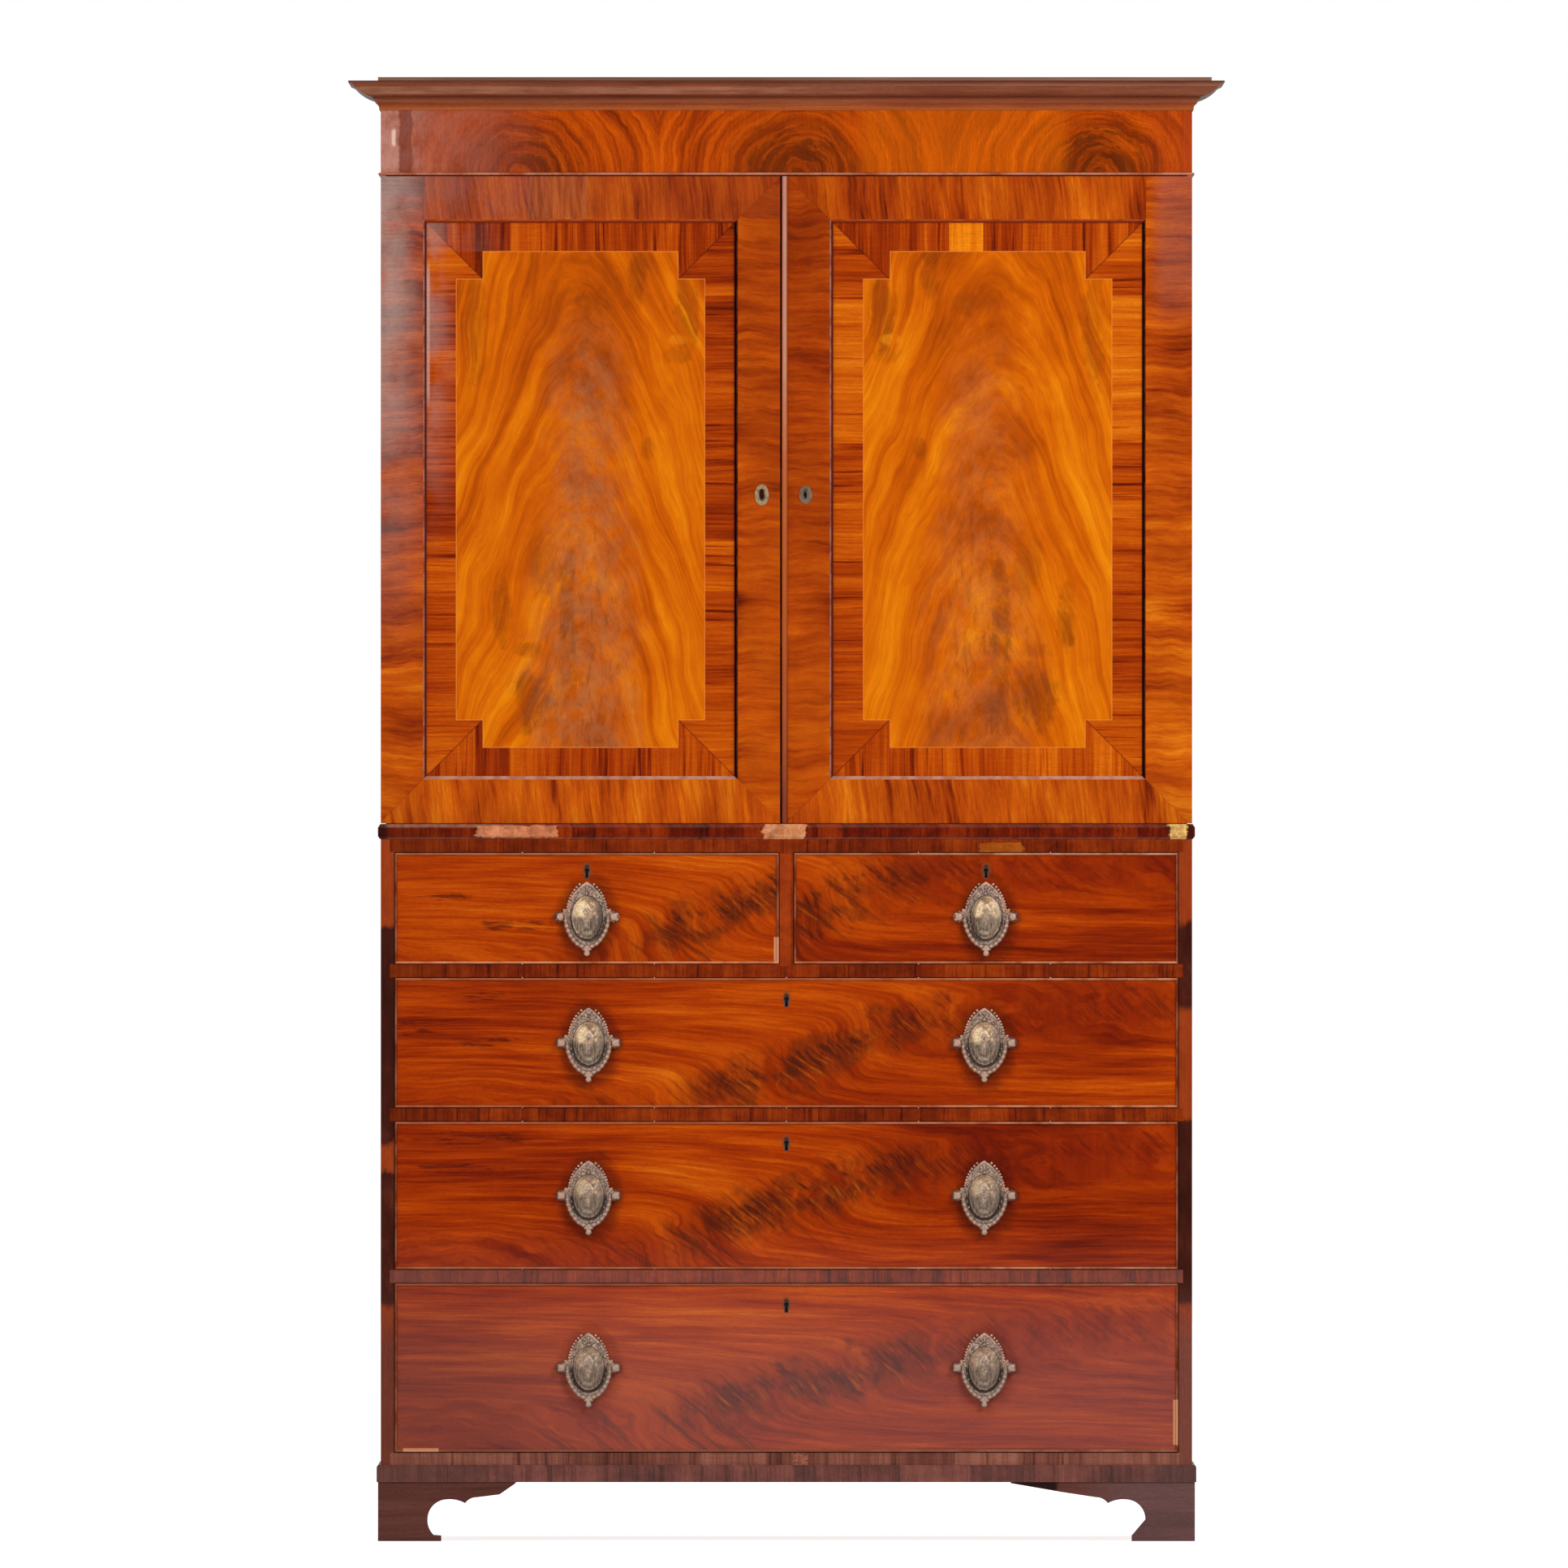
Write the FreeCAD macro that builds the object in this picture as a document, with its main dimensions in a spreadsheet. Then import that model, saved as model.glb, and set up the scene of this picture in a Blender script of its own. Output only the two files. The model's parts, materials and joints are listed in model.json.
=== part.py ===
import FreeCAD, Part
import math
import os
from types import SimpleNamespace

import Sketcher

# A George III mahogany linen press: a lower case of two short and three long
# drawers on bracket feet, an upper case with a pair of doors over sliding linen
# trays, and a loose frieze and cornice on top.
# Millimetres. +Z is up, the front faces -Y, and the origin is on the floor
# under the middle of the whole piece.

SIZES = {
    # Lower case
    "lower_width": 1154,
    "lower_depth": 556,
    "side_thickness": 19,
    "bottom_thickness": 17.5,
    "lower_top_thickness": 13.5,
    "back_thickness": 12,
    "back_rebate": 9,
    "back_board_gap": 1,
    "housing_depth": 6,
    # Drawer openings from the lowest to the top, and what parts them
    "deep_opening": 241.5,
    "middle_opening": 211.5,
    "shallow_opening": 186,
    "short_opening": 159.5,
    "rail_thickness": 18.5,
    "rail_depth": 60,
    "divider_width": 19.5,
    "divider_tenon": 6,
    "runner_width": 45,
    "centre_runner_width": 90,
    "guide_height": 30,
    "dustboard_thickness": 7,
    "dustboard_tongue": 7,
    "stop_length": 36,
    "stop_width": 18,
    "stop_height": 5,
    "stop_gap": 0.3,
    # Drawers
    "drawer_gap": 1.0,
    "running_gap": 0.3,
    "front_thickness": 22,
    "bead_thickness": 3.2,
    "bead_depth": 12,
    "bead_proud": 3,
    "bead_nose_radius": 1.4,
    "drawer_side_thickness": 10,
    "drawer_side_drop": 4,
    "drawer_back_thickness": 10,
    "drawer_back_space": 20,
    "drawer_bottom_thickness": 8,
    "drawer_bottom_rise": 9,
    "drawer_groove": 5,
    "dovetail_lap": 6,
    "dovetail_pitch": 36,
    "dovetail_root": 15,
    "dovetail_end": 22,
    # Bail handles and their plates
    "handle_spread": 563,
    "post_spacing": 77,
    "post_radius": 2.5,
    "post_head_radius": 5.4,
    "post_head_length": 9.4,
    "post_collar_radius": 7,
    "post_collar_length": 1.6,
    "nut_width": 6.5,
    "nut_thickness": 4,
    "nut_overrun": 3,
    "short_handle_drop": 12,
    "plate_half_width": 30,
    "plate_rise": 50,
    "plate_drop": 42,
    "plate_upper_radius": 62,
    "plate_lower_radius": 40,
    "plate_thickness": 1.4,
    "plate_rim_width": 3,
    "plate_rim_height": 2.6,
    "ear_radius": 8,
    "dome_half_width": 23,
    "dome_half_height": 31,
    "dome_height": 8,
    "bail_half_width": 30.5,
    "bail_drop": 43,
    "bail_end_radius": 22,
    "bail_radius": 2.6,
    "bail_standoff": 7.2,
    "bail_post_gap": 0.4,
    "pivot_radius": 1.5,
    "pivot_clearance": 0.05,
    "pivot_reach": 5,
    "finial_radius": 4,
    "finial_length": 9,
    # Locks and keyholes
    "keyhole_drop": 29.5,
    "short_keyhole_drop": 24.5,
    "keyhole_radius": 3.2,
    "keyhole_slot_width": 4,
    "keyhole_slot_length": 11,
    "lining_wall": 1.1,
    "lining_depth": 5,
    "lock_width": 56,
    "lock_height": 44,
    "lock_depth": 10,
    # Waist band between the cases, base moulding and feet
    "waist_proud": 4,
    "waist_top_bevel": 5,
    "waist_foot_bevel": 4,
    "waist_edge": 0.8,
    "rim_height": 8,
    "case_joint_gap": 0.3,
    "base_moulding_height": 24.5,
    "base_moulding_proud": 6,
    "base_moulding_chamfer": 3,
    "base_backing": 20,
    "foot_height": 84,
    "foot_proud": 4,
    "foot_thickness": 20,
    "foot_toe_width": 90,
    "foot_toe_lip": 8,
    "foot_toe_flat": 11,
    "foot_hollow_radius": 28.5,
    "foot_hollow_back": 9,
    "foot_hollow_drop": 24.5,
    "foot_crown_radius": 43,
    "foot_cusp_reach": 124,
    "foot_cusp_drop": 30,
    "foot_step_reach": 140.5,
    "foot_step_drop": 21.5,
    "foot_wing_reach": 173,
    "foot_wing_drop": 17.5,
    "foot_reach": 196,
    "cut_foot_bend": 190,
    "cut_foot_bend_drop": 14,
    "cut_foot_reach": 262,
    "foot_curve_radius": 20,
    "back_bracket_foot": 58,
    "back_bracket_reach": 63,
    "foot_tip": 1.5,
    "glue_block": 38,
    # Upper case
    "upper_height": 930.5,
    "upper_side_inset": 7,
    "upper_side_thickness": 20,
    "upper_board_thickness": 18,
    "tray_count": 4,
    "tray_runner_width": 18,
    "tray_runner_height": 18,
    "first_tray_rise": 30,
    "tray_pitch": 212,
    "tray_front_setback": 15,
    "tray_side_height": 95,
    "tray_front_height": 42,
    "tray_thickness": 10,
    "tray_bottom_thickness": 7,
    "tray_scoop_radius": 60,
    "tray_side_gap": 1.5,
    # Doors
    "door_setback": 2,
    "door_thickness": 24,
    "door_case_gap": 1,
    "door_gap": 1.2,
    "left_door_width": 568,
    "meeting_gap": 2.5,
    "closing_bead_width": 8,
    "closing_bead_proud": 2,
    "stile_width": 60,
    "right_hinge_stile_width": 66,
    "top_rail_width": 61,
    "bottom_rail_width": 62,
    "tenon_thickness": 8,
    "tenon_length": 40,
    "panel_recess": 9,
    "panel_thickness": 9,
    "panel_groove": 8,
    "panel_play": 1,
    "moulding_width": 5,
    "moulding_front_drop": 1,
    "moulding_inner_edge": 2,
    "escutcheon_height": 467,
    "escutcheon_inset": 26,
    "left_escutcheon_half_width": 10,
    "left_escutcheon_half_height": 15,
    "right_escutcheon_half_width": 9.5,
    "right_escutcheon_half_height": 13,
    "escutcheon_thickness": 1.4,
    "door_lock_height": 90,
    "door_lock_width": 40,
    # Butt hinges
    "hinge_length": 75,
    "hinge_inset": 150,
    "knuckle_radius": 3.2,
    "knuckle_notch_clearance": 0.4,
    "knuckle_end_gap": 0.2,
    "leaf_thickness": 2,
    "leaf_width": 20,
    "hinge_pin_radius": 1.5,
    # Frieze, cornice and dust cover
    "frieze_height": 134.5,
    "frieze_thickness": 18,
    "frieze_bead_height": 4,
    "frieze_bead_flat": 2.2,
    "frieze_bead_radius": 2.2,
    "cornice_overhang": 46,
    "cornice_height": 41.5,
    "cornice_fascia": 2.5,
    "cornice_cyma_height": 20,
    "cornice_cyma_foot": 13.5,
    "cornice_bend": 37,
    "cornice_bend_drop": 6,
    "cornice_hollow_radius": 14,
    "cornice_swell_radius": 60,
    "cornice_fillet": 3,
    "cornice_fillet_out": 11,
    "cornice_foot": 2,
    "cornice_cove_radius": 20,
    "dust_cover_thickness": 5.5,
    "dust_cover_inset": 3,
    "dust_cover_left": 581,
    "dust_cover_right": 605,
}

doc = FreeCAD.newDocument("linen_press")
sheet = doc.addObject("Spreadsheet::Sheet", "Sizes")


class Length:
    """A length in millimetres with the spreadsheet expression that gives it."""

    def __init__(self, value, text):
        self.value = value
        self.text = text

    def __add__(self, other):
        other = as_length(other)
        return Length(self.value + other.value, f"({self.text} + {other.text})")

    def __sub__(self, other):
        other = as_length(other)
        return Length(self.value - other.value, f"({self.text} - {other.text})")

    def __mul__(self, factor):
        factor = as_length(factor)
        return Length(self.value * factor.value, f"({self.text} * {factor.text})")

    def __truediv__(self, divisor):
        divisor = as_length(divisor)
        return Length(self.value / divisor.value, f"({self.text} / {divisor.text})")

    def __neg__(self):
        return Length(-self.value, f"(0 - {self.text})")

    def __radd__(self, other):
        return as_length(other) + self

    def __rsub__(self, other):
        return as_length(other) - self

    def __rmul__(self, other):
        return as_length(other) * self


def as_length(number):
    if isinstance(number, Length):
        return number
    if number < 0:
        return Length(number, f"(0 - {-number})")
    return Length(number, f"{number}")


def fill_sheet():
    lengths = {}
    for row, (name, value) in enumerate(SIZES.items(), start=1):
        sheet.set(f"A{row}", str(value))
        sheet.setAlias(f"A{row}", name)
        lengths[name] = Length(value, f"Sizes.{name}")
    doc.recompute()
    return SimpleNamespace(**lengths)


size = fill_sheet()
ZERO = as_length(0)
nodes = []

# ---------------------------------------------------------------- shape helpers


def bind(thing, **properties):
    """Ties properties of an object to spreadsheet expressions."""
    for name, length in properties.items():
        thing.setExpression(name, as_length(length).text)


def place(thing, x, y, z, turn=0):
    """Puts an object at a bound position, turned about the vertical by degrees."""
    turned = FreeCAD.Rotation(FreeCAD.Vector(0, 0, 1), turn)
    thing.Placement = FreeCAD.Placement(FreeCAD.Vector(0, 0, 0), turned)
    move(thing, x, y, z)
    return thing


def move(thing, x, y, z):
    for axis, length in zip("xyz", (x, y, z)):
        thing.setExpression(f"Placement.Base.{axis}", as_length(length).text)
    return thing


def box(name, x, y, z):
    """A board between two corners, each direction given as (low, high)."""
    board = doc.addObject("Part::Box", name)
    bind(board, Length=x[1] - x[0], Width=y[1] - y[0], Height=z[1] - z[0])
    return move(board, x[0], y[0], z[0])


def wedge(name, x, y, z, far_x, far_z):
    """A bar whose section is x by z at the low y, and far_x by far_z at the high y."""
    bar = doc.addObject("Part::Wedge", name)
    bind(bar, Xmin=x[0], Xmax=x[1], Ymin=y[0], Ymax=y[1], Zmin=z[0], Zmax=z[1])
    bind(bar, X2min=far_x[0], X2max=far_x[1], Z2min=far_z[0], Z2max=far_z[1])
    return bar


ROD_TURNS = {
    "x": FreeCAD.Rotation(FreeCAD.Vector(0, 1, 0), 90),
    "y": FreeCAD.Rotation(FreeCAD.Vector(1, 0, 0), -90),
    "z": FreeCAD.Rotation(),
}


def rod(name, radius, along, start, end, across, up):
    """A cylinder along x, y or z; across and up are its other two coordinates."""
    cylinder = doc.addObject("Part::Cylinder", name)
    cylinder.Placement = FreeCAD.Placement(FreeCAD.Vector(0, 0, 0), ROD_TURNS[along])
    bind(cylinder, Radius=radius, Height=end - start)
    corner = {"x": (start, across, up), "y": (across, start, up), "z": (across, up, start)}
    return move(cylinder, *corner[along])


def compound(name, members):
    group = doc.addObject("Part::Compound", name)
    group.Links = list(members)
    return group


def cut(name, base, *tools):
    result = doc.addObject("Part::Cut", name)
    result.Base = base
    result.Tool = tools[0] if len(tools) == 1 else fuse(f"{name}_tools", *tools)
    return result


def fuse(name, *members):
    result = doc.addObject("Part::MultiFuse", name)
    result.Shapes = list(members)
    return result


def node(label, *members):
    """Closes a sub-part: one object, or several loose solids kept as a group."""
    piece = members[0] if len(members) == 1 else compound(f"{label}_group", members)
    piece.Label = label
    nodes.append(piece)
    return piece


def origin_plane(body, role):
    return next(part for part in body.Origin.OriginFeatures if part.Role == role)


def new_sketch(body, name, plane, offset=None):
    sketch = body.newObject("Sketcher::SketchObject", name)
    sketch.AttachmentSupport = (origin_plane(body, plane), [""])
    sketch.MapMode = "FlatFace"
    if offset is not None:
        sketch.setExpression("AttachmentOffset.Base.z", offset.text)
    return sketch


def arc_between(start, end, radius):
    """The short arc from start to end; a positive radius turns left."""
    chord = end - start
    half = chord.Length / 2
    rise = math.sqrt(max(radius * radius - half * half, 0.0))
    left = FreeCAD.Vector(-chord.y, chord.x, 0).normalize()
    centre = (start + end) * 0.5 + left * math.copysign(rise, radius)
    circle = Part.Circle(centre, FreeCAD.Vector(0, 0, 1), abs(radius))
    angles = [math.atan2(point.y - centre.y, point.x - centre.x) for point in (start, end)]
    if radius < 0:
        angles.reverse()
    if angles[1] < angles[0]:
        angles[1] += 2 * math.pi
    return Part.ArcOfCircle(circle, angles[0], angles[1])


def fix_point(sketch, edge, corner, name, point):
    for kind, axis, length in zip(("DistanceX", "DistanceY"), "xy", point):
        rule = Sketcher.Constraint(kind, -1, 1, edge, corner, float(length.value))
        index = sketch.addConstraint(rule)
        sketch.renameConstraint(index, f"{name}_{axis}")
        sketch.setExpression(f"Constraints.{name}_{axis}", length.text)


def draw(sketch, points, closed=True):
    """Draws lines and arcs. A point is (u, v), or (u, v, radius) at an arc's end."""
    points = [tuple(as_length(value) for value in point) for point in points]
    places = [FreeCAD.Vector(point[0].value, point[1].value, 0) for point in points]
    count = len(points) if closed else len(points) - 1
    corners = []
    for index in range(count):
        after = (index + 1) % len(points)
        start = places[index]
        end = places[after]
        if len(points[after]) == 3:
            radius = points[after][2]
            edge = sketch.addGeometry(arc_between(start, end, radius.value))
            corners.append((1, 2) if radius.value > 0 else (2, 1))
            rule = Sketcher.Constraint("Radius", edge, abs(radius.value))
            named = sketch.addConstraint(rule)
            sketch.renameConstraint(named, f"radius_{index}")
            bound = radius if radius.value > 0 else -radius
            sketch.setExpression(f"Constraints.radius_{index}", bound.text)
        else:
            edge = sketch.addGeometry(Part.LineSegment(start, end))
            corners.append((1, 2))
        fix_point(sketch, edge, corners[index][0], f"point_{index}", points[index])
    for index in range(count - (0 if closed else 1)):
        after = (index + 1) % count
        ends = (index, corners[index][1], after, corners[after][0])
        sketch.addConstraint(Sketcher.Constraint("Coincident", *ends))
    if not closed:
        fix_point(sketch, count - 1, corners[-1][1], f"point_{count}", points[-1])
    return sketch


def new_body(name):
    return doc.addObject("PartDesign::Body", name)


def pad(body, sketch, length, reverse=False):
    feature = body.newObject("PartDesign::Pad", f"{sketch.Name}_pad")
    feature.Profile = sketch
    feature.Reversed = reverse
    bind(feature, Length=length)
    return feature


def pocket_through(body, sketch):
    """Cuts through everything on both sides of the sketch."""
    feature = body.newObject("PartDesign::Pocket", f"{sketch.Name}_pocket")
    feature.Profile = sketch
    feature.Type = "ThroughAll"
    feature.Midplane = True
    return feature


# ---------------------------------------------------------------- main places

HALF = size.lower_width / 2
FRONT = (size.cornice_overhang - size.door_setback - size.lower_depth) / 2
BACK = FRONT + size.lower_depth
BOARD_BACK = BACK - size.back_thickness
INNER = HALF - size.side_thickness

BASE = size.foot_height
FLOOR = BASE + size.base_moulding_height
TIER_NAMES = ("deep", "middle", "shallow", "short")
TIER_HEIGHTS = (
    size.deep_opening,
    size.middle_opening,
    size.shallow_opening,
    size.short_opening,
)

tiers = {}
level = FLOOR + size.bottom_thickness
for tier_name, tier_height in zip(TIER_NAMES, TIER_HEIGHTS):
    tiers[tier_name] = (level, level + tier_height)
    level = level + tier_height + size.rail_thickness
WAIST_FOOT = level
WAIST = WAIST_FOOT + size.lower_top_thickness
RIM_TOP = WAIST + size.rim_height

UPPER_HALF = HALF - size.upper_side_inset
UPPER_INNER = UPPER_HALF - size.upper_side_thickness
UPPER_TOP = WAIST + size.upper_height
DOOR_FACE = FRONT + size.door_setback
DOOR_BACK = DOOR_FACE + size.door_thickness
UPPER_FRONT = DOOR_BACK + size.door_case_gap
DOOR_FOOT = RIM_TOP + size.door_gap
DOOR_TOP = UPPER_TOP - size.door_gap

# ---------------------------------------------------------------- lower case


def lower_side(side):
    """A case side, housed for the rails, runners and boards, rebated for the back."""
    name = f"lower_side_{side}"
    sign = -1 if side == "left" else 1
    board = box(f"{name}_board", span(sign, INNER, HALF), (FRONT, BACK), (BASE, WAIST))
    housed = span(sign, INNER, INNER + size.housing_depth)
    housings = [("bottom", FLOOR, FLOOR + size.bottom_thickness)]
    for tier in TIER_NAMES[:-1]:
        top = tiers[tier][1]
        housings.append((tier, top, top + size.rail_thickness))
    housings.append(("top", tiers["short"][1], WAIST))
    tools = []
    for label, low, high in housings:
        tools.append(box(f"{name}_{label}_housing", housed, (FRONT, BOARD_BACK), (low, high)))
    rebate = span(sign, INNER, INNER + size.back_rebate)
    tools.append(box(f"{name}_rebate", rebate, (BOARD_BACK, BACK), (FLOOR, WAIST)))
    node(name, cut(f"{name}_cut", board, *tools))


def span(sign, near, far):
    """The x range from near to far on the left (-1) or the right (1)."""
    return (near, far) if sign > 0 else (-far, -near)


def back_boards(name, half, low, high, count):
    """Upright boards with small gaps between them, filling the rebates."""
    width = (2 * half - (count - 1) * size.back_board_gap) / count
    boards = []
    for index in range(count):
        left = -half + index * (width + size.back_board_gap)
        x = (left, left + width)
        boards.append(box(f"{name}_{index + 1}", x, (BOARD_BACK, BACK), (low, high)))
    node(name, *boards)


def front_rails():
    """The rails between the drawers and the post between the short drawers."""
    reach = INNER + size.housing_depth
    depth = (FRONT, FRONT + size.rail_depth)
    centre = (-(size.divider_width / 2), size.divider_width / 2)
    low, high = tiers["short"]
    post_z = (low - size.divider_tenon, high + size.divider_tenon)
    members = []
    for tier in TIER_NAMES:
        foot = tiers[tier][1]
        top = foot + size.rail_thickness
        rail = box(f"rail_over_{tier}", (-reach, reach), depth, (foot, top))
        tools = []
        if tier != "short":
            groove = (depth[1] - size.dustboard_tongue, depth[1])
            tools.append(dust_space(f"rail_groove_{tier}", (-INNER, INNER), groove, foot))
        if tier == "shallow":
            tools.append(box("post_mortise_low", centre, depth, (post_z[0], top)))
        if tier == "short":
            tools.append(box("post_mortise_high", centre, depth, (foot, post_z[1])))
        members.append(cut(f"rail_{tier}", rail, *tools))
    members.append(box("drawer_post", centre, depth, post_z))
    guide_z = (low, low + size.guide_height)
    members.append(box("drawer_guide", centre, (depth[1], BOARD_BACK), guide_z))
    node("front_rails", *members)


def dust_space(name, x, y, rail_foot):
    """The space of a dustboard halfway up a rail."""
    low = rail_foot + (size.rail_thickness - size.dustboard_thickness) / 2
    return box(name, x, y, (low, low + size.dustboard_thickness))


def runners_and_dustboards():
    """Runners behind the rails, dustboards in their grooves, and drawer stops."""
    start = FRONT + size.rail_depth
    y = (start, BOARD_BACK)
    outer = INNER + size.housing_depth
    inner = INNER - size.runner_width
    tongue = inner + size.dustboard_tongue
    centre = size.centre_runner_width / 2
    board_y = (start - size.dustboard_tongue, BOARD_BACK)
    runners = []
    boards = []
    for tier in TIER_NAMES[:-1]:
        foot = tiers[tier][1]
        z = (foot, foot + size.rail_thickness)
        for side, sign in (("left", -1), ("right", 1)):
            runner = box(f"runner_{side}_{tier}_board", span(sign, inner, outer), y, z)
            groove = dust_space(f"runner_{side}_{tier}_groove", span(sign, inner, tongue), y, foot)
            runners.append(cut(f"runner_{side}_{tier}", runner, groove))
        if tier != "shallow":
            boards.append(dust_space(f"dustboard_{tier}", (-tongue, tongue), board_y, foot))
            continue
        middle = box("centre_runner_board", (-centre, centre), y, z)
        near = centre - size.dustboard_tongue
        grooves = []
        for side, sign in (("left", -1), ("right", 1)):
            grooves.append(dust_space(f"centre_groove_{side}", span(sign, near, centre), y, foot))
            space = span(sign, near, tongue)
            boards.append(dust_space(f"dustboard_{side}_{tier}", space, board_y, foot))
        runners.append(cut("centre_runner", middle, *grooves))
    node("drawer_runners", *runners, *drawer_stops())
    node("dustboards", *boards)


def drawer_stops():
    """Blocks behind the drawer fronts that halt each drawer flush with the case."""
    y = FRONT + size.front_thickness + size.stop_gap
    stops = []
    for name, x, z in drawer_openings():
        for side, share in (("left", 0.25), ("right", 0.75)):
            centre = x[0] + (x[1] - x[0]) * share
            across = (centre - size.stop_length / 2, centre + size.stop_length / 2)
            depth = (y, y + size.stop_width)
            up = (z[0], z[0] + size.stop_height)
            stops.append(box(f"stop_{name}_{side}", across, depth, up))
    return stops


def drawer_openings():
    """Each drawer's name and its opening's x and z ranges."""
    post = size.divider_width / 2
    short = tiers["short"]
    openings = [
        ("short_left", (-INNER, -post), short),
        ("short_right", (post, INNER), short),
    ]
    for tier in ("shallow", "middle", "deep"):
        openings.append((tier, (-INNER, INNER), tiers[tier]))
    return openings


def lower_case():
    reach = INNER + size.housing_depth
    lower_side("left")
    lower_side("right")
    depth = (FRONT, BOARD_BACK)
    bottom_z = (FLOOR, FLOOR + size.bottom_thickness)
    node("lower_bottom", box("bottom_board", (-reach, reach), depth, bottom_z))
    top_x = (-reach, reach)
    node("lower_top", box("top_board", top_x, depth, (WAIST_FOOT, WAIST)))
    back_boards("lower_back", INNER + size.back_rebate, FLOOR, WAIST, 6)
    front_rails()
    runners_and_dustboards()


# ---------------------------------------------------------------- mouldings


def flip(point):
    """The same outline point with u the other way, so its arc turns the other way."""
    return tuple(-as_length(value) if index != 1 else value for index, value in enumerate(point))


def moulding_run(name, profile, length, mitres, reach):
    """A moulding along +X with its profile (out, up) facing -Y, mitred at its ends."""
    body = new_body(name)
    start = -reach if mitres[0] else ZERO
    total = length + sum(mitres) * reach
    section = new_sketch(body, f"{name}_section", "YZ_Plane", start)
    draw(section, [flip(point) for point in profile])
    pad(body, section, total)
    spare = reach + size.side_thickness
    for end, mitred in zip((ZERO, length), mitres):
        if not mitred:
            continue
        outward = -1 if end is ZERO else 1
        corner = new_sketch(body, f"{name}_mitre_{'start' if end is ZERO else 'end'}", "XY_Plane")
        tip = end + outward * spare
        draw(corner, [(end, ZERO), (tip, -spare), (tip, ZERO)])
        pocket_through(body, corner)
    return body


def mitred_band(name, profile, half, front, back, z, reach):
    """Front and side lengths of one moulding, mitred at the two front corners."""
    front_run = moulding_run(f"{name}_front", profile, 2 * half, (1, 1), reach)
    left_run = moulding_run(f"{name}_left", profile, back - front, (0, 1), reach)
    right_run = moulding_run(f"{name}_right", profile, back - front, (1, 0), reach)
    return [
        place(front_run, -half, front, z),
        place(left_run, -half, back, z, -90),
        place(right_run, half, front, z, 90),
    ]


def waist_moulding():
    """A bevelled band, and the rim that the upper case stands in."""
    proud = size.waist_proud
    height = RIM_TOP - WAIST_FOOT
    edge = size.waist_edge
    profile = [
        (0, 0),
        (edge, 0),
        (proud, size.waist_foot_bevel),
        (proud, height - size.waist_top_bevel),
        (edge, height),
        (0, height),
    ]
    bands = mitred_band("waist", profile, HALF, FRONT, BACK, WAIST_FOOT, proud)
    front_rim = (FRONT, UPPER_FRONT - size.case_joint_gap)
    z = (WAIST, RIM_TOP)
    rims = [box("rim_front", (-HALF, HALF), front_rim, z)]
    for side, sign in (("left", -1), ("right", 1)):
        x = span(sign, UPPER_HALF + size.case_joint_gap, HALF)
        rims.append(box(f"rim_{side}", x, (front_rim[1], BACK), z))
    node("waist_moulding", *bands, *rims)


def base_moulding():
    proud = size.base_moulding_proud
    height = size.base_moulding_height
    chamfer = size.base_moulding_chamfer
    profile = [(0, 0), (proud, 0), (proud, height - chamfer), (proud - chamfer, height), (0, height)]
    bands = mitred_band("base", profile, HALF, FRONT, BACK, BASE, proud)
    backing_y = (FRONT, FRONT + size.base_backing)
    backing = box("base_backing", (-INNER, INNER), backing_y, (BASE, FLOOR))
    node("base_moulding", *bands, backing)


def frieze():
    """Three veneered boards and a back rail, with a thin bead along the foot."""
    top = UPPER_TOP + size.frieze_height
    z = (UPPER_TOP, top)
    behind = DOOR_FACE + size.frieze_thickness
    members = [box("frieze_front", (-HALF, HALF), (DOOR_FACE, behind), z)]
    inner = HALF - size.frieze_thickness
    for side, sign in (("left", -1), ("right", 1)):
        members.append(box(f"frieze_{side}", span(sign, inner, HALF), (behind, BACK), z))
        block_x = span(sign, inner - size.glue_block, inner)
        block_y = (behind, behind + size.glue_block)
        members.append(box(f"frieze_block_{side}", block_x, block_y, z))
    rail_y = (BACK - size.frieze_thickness, BACK)
    members.append(box("frieze_back", (-inner, inner), rail_y, z))
    flat = size.frieze_bead_flat
    height = size.frieze_bead_height
    bead = [(0, 0), (flat, 0), (flat, height, size.frieze_bead_radius), (0, height)]
    members += mitred_band("frieze_bead", bead, HALF, DOOR_FACE, BACK, UPPER_TOP, 2 * flat)
    node("frieze", *members)


def cornice():
    """Fascia, cyma, fillet and cove, round the top of the frieze."""
    tall = size.cornice_height
    under_fascia = tall - size.cornice_fascia
    cyma_foot = under_fascia - size.cornice_cyma_height
    over = size.cornice_overhang
    fillet = size.cornice_fillet_out
    profile = [
        (0, 0),
        (size.cornice_foot, 0),
        (fillet, cyma_foot - size.cornice_fillet, -size.cornice_cove_radius),
        (fillet, cyma_foot),
        (size.cornice_cyma_foot, cyma_foot),
        (size.cornice_bend, under_fascia - size.cornice_bend_drop, size.cornice_swell_radius),
        (over, under_fascia, -size.cornice_hollow_radius),
        (over, tall),
        (0, tall),
    ]
    z = UPPER_TOP + size.frieze_height - tall
    node("cornice", *mitred_band("cornice", profile, HALF, DOOR_FACE, BACK, z, over))
    # The loose board on top lies a little to the right.
    top = UPPER_TOP + size.frieze_height
    cover_x = (-size.dust_cover_left, size.dust_cover_right)
    cover_y = (DOOR_FACE + size.dust_cover_inset, BACK)
    cover_z = (top, top + size.dust_cover_thickness)
    node("dust_cover", box("cover_board", cover_x, cover_y, cover_z))


# ---------------------------------------------------------------- bracket feet


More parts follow.
